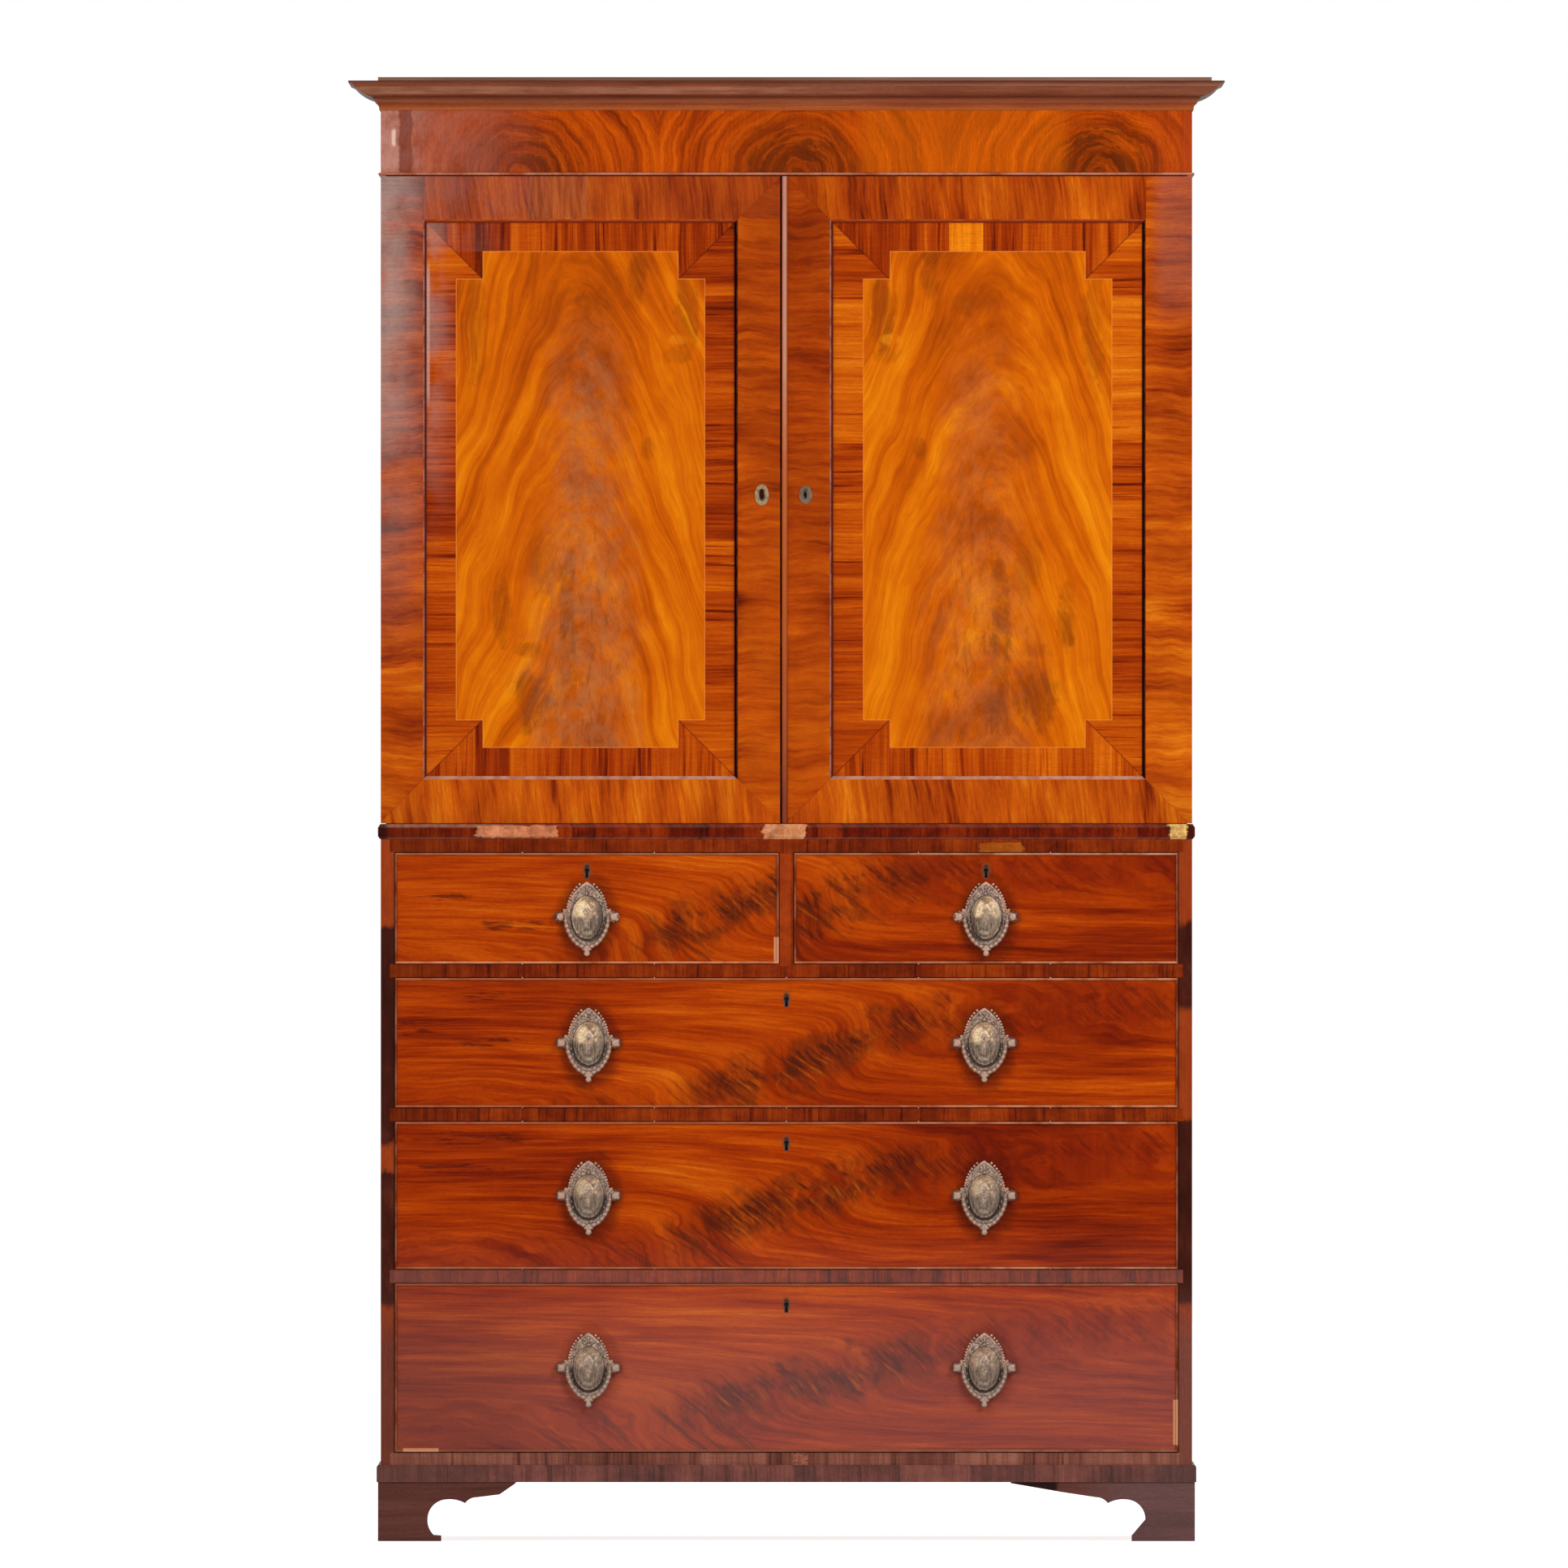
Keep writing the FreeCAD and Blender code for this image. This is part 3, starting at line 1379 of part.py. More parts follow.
def plate_slab(name, x, z, inset, y):
    """A slab with the plate's outline, drawn in by inset, standing out from y."""
    body = new_body(name)
    wide = size.plate_half_width - inset
    rise = size.plate_rise - inset * 1.2
    drop = size.plate_drop - inset * 1.2
    upper = size.plate_upper_radius - inset
    lower = size.plate_lower_radius - inset
    outline = new_sketch(body, f"{name}_outline", "XZ_Plane")
    draw(outline, [(wide, ZERO, lower), (ZERO, rise, upper),
                   (-wide, ZERO, upper), (ZERO, -drop, lower)])
    pad(body, outline, size.plate_rim_height)
    return place(body, x, y, z)


def dome(name, x, z):
    """The medallion: an oval dome made of two sloping bands and a flat crown."""
    rings = []
    profile = ((1.0, 0.0), (0.88, 0.55), (0.6, 0.88), (0.3, 1.0))
    for index, (share, rise) in enumerate(profile):
        ring = doc.addObject("Part::Ellipse", f"{name}_ring_{index + 1}")
        bind(ring, MajorRadius=size.dome_half_height * share)
        bind(ring, MinorRadius=size.dome_half_width * share)
        ring.Placement = FreeCAD.Placement(FreeCAD.Vector(0, 0, 0), oval_turn(True))
        rings.append(move(ring, x, FRONT - size.dome_height * rise, z))
    shell = doc.addObject("Part::Loft", name)
    shell.Sections = rings
    shell.Solid = True
    shell.Ruled = True
    return shell


def post(name, x, z, face_back, inward):
    """A post with a collar and a bored head in front, and its nut behind."""
    plate_front = FRONT - size.plate_thickness
    collar_front = plate_front - size.post_collar_length
    head_front = plate_front - size.post_head_length
    end = face_back + size.nut_thickness + size.nut_overrun
    shank = rod(f"{name}_shank", size.post_radius, "y", plate_front, end, x, z)
    collar_y = (collar_front, plate_front)
    collar = rod(f"{name}_collar", size.post_collar_radius, "y", *collar_y, x, z)
    head = rod(f"{name}_head", size.post_head_radius, "y", head_front, collar_front, x, z)
    bore_y = FRONT - size.bail_standoff
    bore_radius = size.pivot_radius + size.pivot_clearance
    face_x = size.post_spacing / 2 - size.bail_half_width - size.bail_radius
    mouth = x + inward * size.post_collar_radius
    depth = size.pivot_reach + size.bail_post_gap
    bottom = x + inward * (face_x - depth)
    start, stop = (bottom, mouth) if inward > 0 else (mouth, bottom)
    bore = rod(f"{name}_bore", bore_radius, "x", start, stop, bore_y, z)
    blank = fuse(f"{name}_blank", shank, collar, head)
    nut = doc.addObject("Part::Prism", f"{name}_nut_blank")
    nut.Polygon = 4
    nut.Placement = FreeCAD.Placement(FreeCAD.Vector(0, 0, 0), ROD_TURNS["y"])
    bind(nut, Circumradius=size.nut_width, Height=size.nut_thickness)
    move(nut, x, face_back, z)
    tap_y = (face_back, face_back + size.nut_thickness)
    tapped = rod(f"{name}_tapped", size.post_radius, "y", *tap_y, x, z)
    return [cut(f"{name}_post", blank, bore), cut(f"{name}_nut", nut, tapped)]


def bail(name, x, z):
    """A bail of three tangent curves with pivots into the posts and a finial."""
    body = new_body(f"{name}_body")
    wide = size.bail_half_width
    small = size.bail_end_radius
    centre_z = size.bail_drop - small
    offset = (centre_z * centre_z - (wide - small) * (wide - small)) / (2 * (wide - small))
    large = offset + wide
    share = small / (large - small)
    touch_x = offset * share
    touch_z = -(centre_z + centre_z * share)
    stub = size.bail_radius

    path = new_sketch(body, f"{name}_path", "XZ_Plane")
    draw(path, [(wide, stub), (wide, ZERO), (touch_x, touch_z, -large),
                (-touch_x, touch_z, -small), (-wide, ZERO, -large), (-wide, stub)], closed=False)
    section = new_sketch(body, f"{name}_section", "XY_Plane", stub)
    corner = size.bail_radius * math.tan(math.pi / 8)
    flat = size.bail_radius
    ring = [(flat, -corner), (flat, corner), (corner, flat), (-corner, flat),
            (-flat, corner), (-flat, -corner), (-corner, -flat), (corner, -flat)]
    draw(section, [(wide + u, v) for u, v in ring])
    pipe = body.newObject("PartDesign::AdditivePipe", f"{name}_bar")
    pipe.Profile = section
    pipe.Spine = (path, [""])
    pipe.Mode = "Standard"

    reach = flat + size.bail_post_gap + size.pivot_reach
    for label, sign in (("left", -1), ("right", 1)):
        start = wide if sign > 0 else -(wide + reach)
        disc = new_sketch(body, f"{name}_{label}_disc", "YZ_Plane", start)
        draw_circle(disc, size.pivot_radius)
        pad(body, disc, reach)
    finial = body.newObject("PartDesign::AdditivePrism", f"{name}_finial")
    finial.Polygon = 8
    bind(finial, Circumradius=size.finial_radius, Height=size.finial_length)
    finial.AttachmentSupport = (origin_plane(body, "XY_Plane"), [""])
    finial.MapMode = "FlatFace"
    low = -(size.bail_drop + size.finial_length)
    finial.setExpression("AttachmentOffset.Base.z", low.text)
    place(body, x, FRONT - size.bail_standoff, z)
    node(name, body)


def draw_circle(sketch, radius):
    centre = FreeCAD.Vector(0, 0, 0)
    circle = Part.Circle(centre, FreeCAD.Vector(0, 0, 1), radius.value)
    edge = sketch.addGeometry(circle)
    sketch.addConstraint(Sketcher.Constraint("Coincident", edge, 3, -1, 1))
    rule = sketch.addConstraint(Sketcher.Constraint("Radius", edge, radius.value))
    sketch.renameConstraint(rule, "radius")
    sketch.setExpression("Constraints.radius", radius.text)


def drawers():
    """All five drawers; long ones carry two handles over the short ones' places."""
    for name, x, z in drawer_openings():
        middle_z = (z[0] + z[1]) / 2
        if name.startswith("short"):
            places = [((x[0] + x[1]) / 2, middle_z - size.short_handle_drop)]
            key_drop = size.short_keyhole_drop
        else:
            half = size.handle_spread / 2
            places = [(-half, middle_z), (half, middle_z)]
            key_drop = size.keyhole_drop
        drawer(name, x, z, key_drop, places)


# ---------------------------------------------------------------- build and write

lower_case()
waist_moulding()
base_moulding()
feet()
upper_case()
hinges()
doors()
frieze()
cornice()
drawers()
doc.recompute()

for thing in doc.Objects:
    if {"Invalid", "Error"} & set(thing.State):
        raise RuntimeError(f"{thing.Name} failed: {thing.State}")

os.makedirs("parts", exist_ok=True)
for piece in nodes:
    shape = piece.Shape
    if shape.isNull() or not shape.isValid():
        raise RuntimeError(f"{piece.Label} has no valid shape")
    shape.exportStep(f"parts/{piece.Label}.step")
print(f"{len(nodes)} sub-parts written")
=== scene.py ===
import json
import math

import bmesh
import bpy
from mathutils import Matrix, Vector

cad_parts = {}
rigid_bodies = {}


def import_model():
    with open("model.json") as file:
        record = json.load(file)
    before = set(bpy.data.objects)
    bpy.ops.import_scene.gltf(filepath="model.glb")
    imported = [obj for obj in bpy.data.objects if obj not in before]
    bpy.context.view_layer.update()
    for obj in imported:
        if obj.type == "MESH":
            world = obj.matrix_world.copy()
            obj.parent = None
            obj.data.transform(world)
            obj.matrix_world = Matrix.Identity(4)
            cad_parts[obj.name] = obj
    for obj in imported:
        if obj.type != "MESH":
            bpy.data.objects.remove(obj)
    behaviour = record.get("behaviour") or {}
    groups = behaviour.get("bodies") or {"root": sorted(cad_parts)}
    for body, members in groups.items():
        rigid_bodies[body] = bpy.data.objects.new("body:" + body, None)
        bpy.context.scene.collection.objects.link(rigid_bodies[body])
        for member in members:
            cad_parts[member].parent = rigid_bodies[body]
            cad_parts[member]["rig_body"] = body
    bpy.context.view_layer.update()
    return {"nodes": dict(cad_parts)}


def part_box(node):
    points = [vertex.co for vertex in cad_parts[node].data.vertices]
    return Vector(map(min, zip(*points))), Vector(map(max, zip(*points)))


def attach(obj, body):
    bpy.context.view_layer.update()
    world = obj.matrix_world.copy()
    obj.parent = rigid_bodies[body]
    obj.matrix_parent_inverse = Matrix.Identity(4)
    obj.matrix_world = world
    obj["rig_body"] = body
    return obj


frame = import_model()
nodes = frame["nodes"]

# The photograph is 1932 pixels square. A pixel is this long on the press's front
# plane, where x = 0 is at column AXIS_COLUMN and the floor at row FLOOR_ROW.
PIXEL = 0.0011543
PHOTO_SIZE = 1932
AXIS_COLUMN = 969
FLOOR_ROW = 1899
MM = 0.001

DRAWERS = ("short_left", "short_right", "shallow", "middle", "deep")
VARNISH = {"Coat_Weight": 0.06, "Coat_Roughness": 0.12, "Specular_IOR_Level": 0.01}

# The y of the drawers' veneer, where the handle plates lie.
FRONT = -0.256
PLATE_THICKNESS = 1.4 * MM

# In millimetres from the middle of a handle's ears: the ears, the boss's half width,
# its reach above and below and its height, then the bail's half width, its drop, the
# radius of its foot, and how far its axis lies from the drawer.
EAR = 38.5
BOSS_WIDE, BOSS_RISE, BOSS_DROP, BOSS_HEIGHT = 23, 31, 33.5, 7.9
BAIL_HALF, BAIL_DROP, BAIL_FOOT_RADIUS, BAIL_AXIS = 30.5, 43, 22, 7.2

# How deep a door's panel sits in its frame's groove.
GROOVE = 7 * MM


def column(pixel):
    """The x of a pixel column on the front plane."""
    return (pixel - AXIS_COLUMN) * PIXEL


def row(pixel):
    """The z of a pixel row on the front plane."""
    return (FLOOR_ROW - pixel) * PIXEL


# ---------------------------------------------------------------- node helpers


def linear(code):
    """The linear RGBA of an sRGB colour such as "#C8640F"."""
    channels = [int(code[index:index + 2], 16) / 255 for index in (1, 3, 5)]
    channels = [c / 12.92 if c <= 0.04045 else ((c + 0.055) / 1.055) ** 2.4 for c in channels]
    return (*channels, 1.0)


class Field:
    """A number that varies over a surface. Arithmetic on it adds Math nodes."""

    def __init__(self, paint, socket):
        self.paint = paint
        self.socket = socket

    def __add__(self, other):
        return self.paint.math("ADD", self, other)

    def __sub__(self, other):
        return self.paint.math("SUBTRACT", self, other)

    def __rsub__(self, other):
        return self.paint.math("SUBTRACT", other, self)

    def __mul__(self, other):
        return self.paint.math("MULTIPLY", self, other)

    def __truediv__(self, other):
        return self.paint.math("DIVIDE", self, other)

    def __abs__(self):
        return self.paint.math("ABSOLUTE", self)

    def __lt__(self, other):
        return self.paint.math("LESS_THAN", self, other)

    def __gt__(self, other):
        return self.paint.math("GREATER_THAN", self, other)

    def least(self, other):
        return self.paint.math("MINIMUM", self, other)

    def most(self, other):
        return self.paint.math("MAXIMUM", self, other)

    def floor(self):
        return self.paint.math("FLOOR", self)

    def ease(self, low, high):
        """0 below low and 1 above high, or the other way round if high is lower."""
        return self.paint.ease(self, low, high)

    def within(self, low, high, soft=MM):
        """1 between low and high, fading to 0 over a soft edge."""
        return self.ease(low - soft, low) * self.ease(high + soft, high)

    def columns(self, left, right, soft=MM):
        """1 on an x between two pixel columns."""
        return self.within(column(left), column(right), soft)

    def rows(self, low, high, soft=MM):
        """1 on a z between two pixel rows."""
        return self.within(row(low), row(high), soft)

    __radd__ = __add__
    __rmul__ = __mul__


class Paint:
    """One material: its coordinates, the helpers that add nodes, and its running colour."""

    def __init__(self, name):
        self.material = bpy.data.materials.new(name)
        self.material.use_nodes = True
        tree = self.material.node_tree
        self.nodes = tree.nodes
        self.links = tree.links
        self.shader = self.nodes["Principled BSDF"]
        coordinates = self.nodes.new("ShaderNodeTexCoord")
        node = self.nodes.new("ShaderNodeSeparateXYZ")
        self.links.new(coordinates.outputs["Object"], node.inputs[0])
        self.x, self.y, self.z = [Field(self, output) for output in node.outputs]
        self.colour = None

    def feed(self, target, value):
        if isinstance(value, Field):
            self.links.new(value.socket, target)
        elif isinstance(value, bpy.types.NodeSocket):
            self.links.new(value, target)
        elif isinstance(value, str):
            target.default_value = linear(value)
        else:
            target.default_value = value

    def math(self, operation, *values):
        node = self.nodes.new("ShaderNodeMath")
        node.operation = operation
        for target, value in zip(node.inputs, values):
            self.feed(target, value)
        return Field(self, node.outputs[0])

    def ease(self, value, low, high):
        node = self.nodes.new("ShaderNodeMapRange")
        node.interpolation_type = "SMOOTHSTEP"
        self.feed(node.inputs["Value"], value)
        flipped = not isinstance(low, Field) and not isinstance(high, Field) and low > high
        self.feed(node.inputs["From Min"], high if flipped else low)
        self.feed(node.inputs["From Max"], low if flipped else high)
        result = Field(self, node.outputs["Result"])
        return 1 - result if flipped else result

    def noise(self, u, v, w=0.0, detail=3, rough=0.6, bend=0.0):
        """Noise from 0 to 1 over coordinates that are already scaled."""
        place = self.nodes.new("ShaderNodeCombineXYZ")
        for target, value in zip(place.inputs, (u, v, w)):
            self.feed(target, value)
        node = self.nodes.new("ShaderNodeTexNoise")
        self.links.new(place.outputs[0], node.inputs["Vector"])
        node.inputs["Scale"].default_value = 1.0
        node.inputs["Detail"].default_value = detail
        node.inputs["Roughness"].default_value = rough
        node.inputs["Distortion"].default_value = bend
        return Field(self, node.outputs[0])

    def chance(self, u, v=0.0):
        """A random number from 0 to 1 for each pair of whole numbers."""
        place = self.nodes.new("ShaderNodeCombineXYZ")
        self.feed(place.inputs[0], u)
        self.feed(place.inputs[1], v)
        node = self.nodes.new("ShaderNodeTexWhiteNoise")
        node.noise_dimensions = "2D"
        self.links.new(place.outputs[0], node.inputs["Vector"])
        return Field(self, node.outputs["Value"])

    def cloud(self, scale, detail=3, rough=0.6):
        """The same noise in all three directions."""
        return self.noise(self.x * scale, self.y * scale, self.z * scale, detail, rough)

    def mix(self, share, base, over):
        """The socket of a colour between two others."""
        node = self.nodes.new("ShaderNodeMix")
        node.data_type = "RGBA"
        self.feed(node.inputs[0], share)
        self.feed(node.inputs[6], base)
        self.feed(node.inputs[7], over)
        return node.outputs[2]

    def blend(self, share, low, high):
        """A number between two others."""
        return low + (high - low) * share

    def ramp(self, value, *stops):
        """A colour from a number, through (place, colour) stops."""
        node = self.nodes.new("ShaderNodeValToRGB")
        self.feed(node.inputs[0], value)
        stones = node.color_ramp.elements
        while len(stones) < len(stops):
            stones.new(0.5)
        for stone, (place, code) in zip(stones, stops):
            stone.position = place
            stone.color = linear(code)
        return node.outputs[0]

    def tone(self, colour, amount):
        """Brightens or darkens a colour by a factor."""
        node = self.nodes.new("ShaderNodeVectorMath")
        node.operation = "SCALE"
        self.feed(node.inputs[0], colour)
        self.feed(node.inputs["Scale"], amount)
        return node.outputs[0]

    def lay(self, share, over):
        """Lays another colour over a share of the running one."""
        self.colour = self.mix(share, self.colour, over)

    def shade(self, amount):
        """Brightens or darkens the running colour by a factor."""
        self.colour = self.tone(self.colour, amount)

    def polish(self, rough, relief):
        """Varnished wood with a faint relief of its grain."""
        return self.finish(rough, relief * 0.3, 0.0001, **VARNISH)

    def finish(self, rough, bump=None, depth=0.0002, **fixed):
        """Feeds the shader the running colour, a roughness, a relief and fixed numbers."""
        self.feed(self.shader.inputs["Base Color"], self.colour)
        self.feed(self.shader.inputs["Roughness"], rough)
        for name, value in fixed.items():
            self.shader.inputs[name.replace("_", " ")].default_value = value
        if bump is not None:
            node = self.nodes.new("ShaderNodeBump")
            node.inputs["Strength"].default_value = 1.0
            node.inputs["Distance"].default_value = depth
            self.feed(node.inputs["Height"], bump)
            self.links.new(node.outputs[0], self.shader.inputs["Normal"])
        return self.material


def hypot(paint, u, v):
    return paint.math("SQRT", u * u + v * v)


def blot(u, v, centre, reach, ragged):
    """A ragged oval patch: 1 in its middle and 0 outside."""
    across = (u - centre[0]) / reach[0]
    up = (v - centre[1]) / reach[1]
    return (across * across + up * up + ragged).ease(1.3, 0.2)


# ---------------------------------------------------------------- wood


def fibres(paint, along, across, seed=0.0):
    """Fine lines, flecks and pores along the grain: a brightness near 1 and a height."""
    lines = paint.noise(along * 10, across * 330, seed, rough=0.65)
    flecks = paint.noise(along * 120, across * 420, seed + 4, detail=2)
    pores = paint.noise(along * 60, across * 1400, seed + 5, detail=1, rough=0.5)
    dark = pores.ease(0.62, 0.72)
    shade = lines * 0.5 + flecks * 0.5 + 0.5 - dark * 0.1
    return shade, lines * 0.5 - dark


def varnished(paint, rough, along, across, dim=1.0):
    """Lays the fine grain over the running colour and finishes it as polished wood."""
    shade, height = fibres(paint, along, across)
    paint.shade(shade * dim)
    return paint.polish(rough, height)


def stripes(paint, across, along, seed=0.0, pitch=0.07):
    """Crossbanding: short lengths of straight-grained veneer with dark lines."""
    piece = (across / pitch + seed).floor()
    warp = paint.noise(across * 14, along * 9, seed, detail=1, rough=0.5) * 0.006
    line = across + warp
    broad = paint.noise(line * 60, along * 3, seed)
    sharp = paint.noise(line * 260, along * 6, seed + 3, rough=0.65)
    dark = paint.noise(line * 150, along * 4, seed + 6, detail=2, rough=0.5).ease(0.58, 0.70)
    tone = paint.chance(piece, seed) - 0.5
    return broad * 0.55 + sharp * 0.45 + 0.03 + tone * 0.22 - dark * 0.2


def crossband_colour(paint, level):
    return paint.ramp(level, (0.28, "#5A1400"), (0.42, "#8E2A00"), (0.55, "#B04202"),
                      (0.70, "#CC5E06"), (0.88, "#E07E12"))


def grain_axes(paint, along):
    """The coordinate along the grain, then the two across it."""
    axes = {"x": paint.x, "y": paint.y, "z": paint.z}
    return axes.pop(along), *axes.values()


def plain_mahogany(name, along, tint, dull=0.0, faced=None, greyed=0.0):
    """Straight-grained mahogany; faced gives the lipping of a front edge its colours."""
    paint = Paint(name)
    length, first, second = grain_axes(paint, along)
    across = first + second * 0.7
    sway = paint.noise(length * 2, across * 3, 4.0, detail=2, rough=0.5) - 0.5
    line = across + sway * 0.03
    broad = paint.noise(line * 22, length * 1.6, 1.0)
    sharp = paint.noise(line * 120, length * 3, 2.0)
    level = broad * 0.65 + sharp * 0.4 - 0.03
    paint.colour = paint.ramp(level, *zip((0.3, 0.5, 0.75), tint))
    if faced is not None:
        paint.lay(paint.y.ease(-0.2505, -0.2515), faced(paint))
    paint.lay(paint.x.ease(0.4, 0.5) * greyed, "#7A6468")
    if greyed:
        # A near-black painted shadow on the right front foot, standing for the block behind the
        # bracket, which lies in shade.
        block_shadow = paint.x.columns(1248, 1300, 6 * MM) * paint.z.ease(row(1840), row(1834))
        paint.lay(block_shadow * 0.85, "#0A0404")
    return varnished(paint, 0.36 + dull, length, line)


def bare_wood(name, along, tint, boards=0.0):
    """Oak or pine that was never polished, in boards of a given width."""
    paint = Paint(name)
    length, first, second = grain_axes(paint, along)
    across = first + second * 0.8
    sway = paint.noise(length * 1.5, across * 4, 4.0, detail=2, rough=0.5) - 0.5
    line = across + sway * 0.04
    rings = paint.noise(line * 40, length * 1.2, 1.0)
    lines = paint.noise(line * 260, length * 5, 2.0, rough=0.65)
    level = rings * 0.6 + lines * 0.45 - 0.03
    paint.colour = paint.ramp(level, *zip((0.28, 0.5, 0.78), tint))
    dust = paint.cloud(6, detail=4, rough=0.5).ease(0.45, 0.7)
    paint.lay(dust * 0.2, "#5E4430")
    if boards:
        place = first / boards + 20.5
        board = place.floor()
        gap = abs(place - board - 0.5).ease(0.5 - 1.5 * MM / boards, 0.5)
        paint.shade(paint.chance(board) * 0.22 + 0.9)
        paint.lay(gap * 0.85, "#1E120A")
    return paint.finish(0.72, lines, 0.0002, Specular_IOR_Level=0.25)


def banding_material(name, tint, patches=(), hazy=0.0, pitch=0.09, worn_edges=False):
    """Crossbanded veneer on rails and mouldings, with losses that show the ground."""
    paint = Paint(name)
    x, z = paint.x, paint.z
    run = x + paint.y
    level = stripes(paint, run + 30.0, z, len(name) * 1.0, pitch)
    bits = paint.noise(run * 22, z * 30, 14.0, detail=5, rough=0.7) - 0.5
    paint.colour = paint.ramp(level + bits * 0.7, *zip((0.22, 0.48, 0.78), tint))
    paint.lay(x.ease(column(640), column(480)) * 0.4, tint[0])
    torn = (paint.noise(x * 70, z * 90, 5.0, detail=4, rough=0.65) - 0.5) * 26 * MM
    mottle = paint.noise(x * 60, z * 60, 15.0, detail=4, rough=0.7)
    if worn_edges:
        rub = mottle.ease(0.25, 0.6) * 0.3 + 0.08
        rim = z.ease(row(1021), row(1018)) * (x.ease(column(650), column(590)) * 0.75 + 0.25)
        rim = rim.most(z.rows(1034, 1032) * 0.35)
        paint.lay(rim * rub * 1.4, "#B88068")
        ends = (abs(x + 2 * MM) + torn * 0.3).ease(0.562, 0.570)
        paint.lay(ends * 0.75, "#180604")
    else:
        paint.lay(x.ease(column(1390), column(1440)) * z.ease(0.2, 0.1) * 0.5, "#342624")
        post = x.columns(957, 974) * z.rows(1190, 1052)
        paint.lay(post * 0.7, paint.mix(bits.ease(-0.2, 0.2), "#8A2E0C", "#B04410"))
    for left, right, low, high, code in patches:
        hole = (x + torn).columns(left, right, 3 * MM)
        hole = hole * (z + torn * 0.35).rows(low, high, 2 * MM)
        worn = paint.mix(mottle.ease(0.40, 0.64) * 0.55, code, "#B0602C")
        paint.lay(hole * (0.5 + bits.ease(-0.12, 0.1) * 0.4), worn)
    paint.lay(z.ease(0.55, 0.35) * 0.24 + hazy, "#8A7270")
    return varnished(paint, 0.36, z, run, 1 - z.rows(1052, 1037) * 0.1)


def side_edge(paint):
    """The front edges of the lower sides: red, nearly black in places and grey low down."""
    patch = paint.noise(paint.x * 20, paint.z * 9, 6.0, detail=4, rough=0.65)
    z = paint.z + (patch - 0.5) * 0.05
    soft = 15 * MM
    left = z.rows(1400, 1148, soft) + z.rows(1600, 1450, soft)
    right = z.rows(1235, 1145, soft) * 0.75 + z.rows(1600, 1385, soft)
    shut = paint.blend(paint.x > 0.0, left, right)
    red = paint.ramp(patch, (0.3, "#862E0C"), (0.7, "#A24218"))
    dark = paint.ramp(patch, (0.32, "#2E0E08"), (0.55, "#42180E"), (0.72, "#5C281A"))
    colour = paint.mix((shut * 1.3).least(1.0), red, dark)
    grey = paint.mix(paint.x > 0.0, "#5C342C", "#70463E")
    return paint.mix(z.ease(row(1560), row(1680)) * 0.75, colour, grey)


def faced_pine():
    """The bottom board: pine behind a crossbanded mahogany front edge."""
    paint = Paint("bottom_board")
    x, y, z = paint.x, paint.y, paint.z
    rings = paint.noise(y * 40, x * 1.2, z * 30)
    pine = paint.ramp(rings, (0.3, "#7A5230"), (0.5, "#A27444"), (0.75, "#BE9460"))
    level = stripes(paint, x + 30.0, z, 2.0, 0.09)
    veneer = paint.ramp(level, (0.28, "#522A22"), (0.5, "#7C4638"), (0.75, "#9C6250"))
    chip = x.columns(978, 994, 4 * MM)
    chip = chip * paint.noise(x * 150, z * 150, rough=0.5).ease(0.4, 0.55)
    veneer = paint.mix(chip * 0.7, veneer, "#B06A50")
    paint.colour = paint.mix(y.ease(-0.252, -0.254), pine, veneer)
    shade, height = fibres(paint, x, y + z)
    paint.shade(shade)
    return paint.finish(0.5, height * 0.3, 0.0001, Specular_IOR_Level=0.08)


# ---------------------------------------------------------------- frieze and cornice


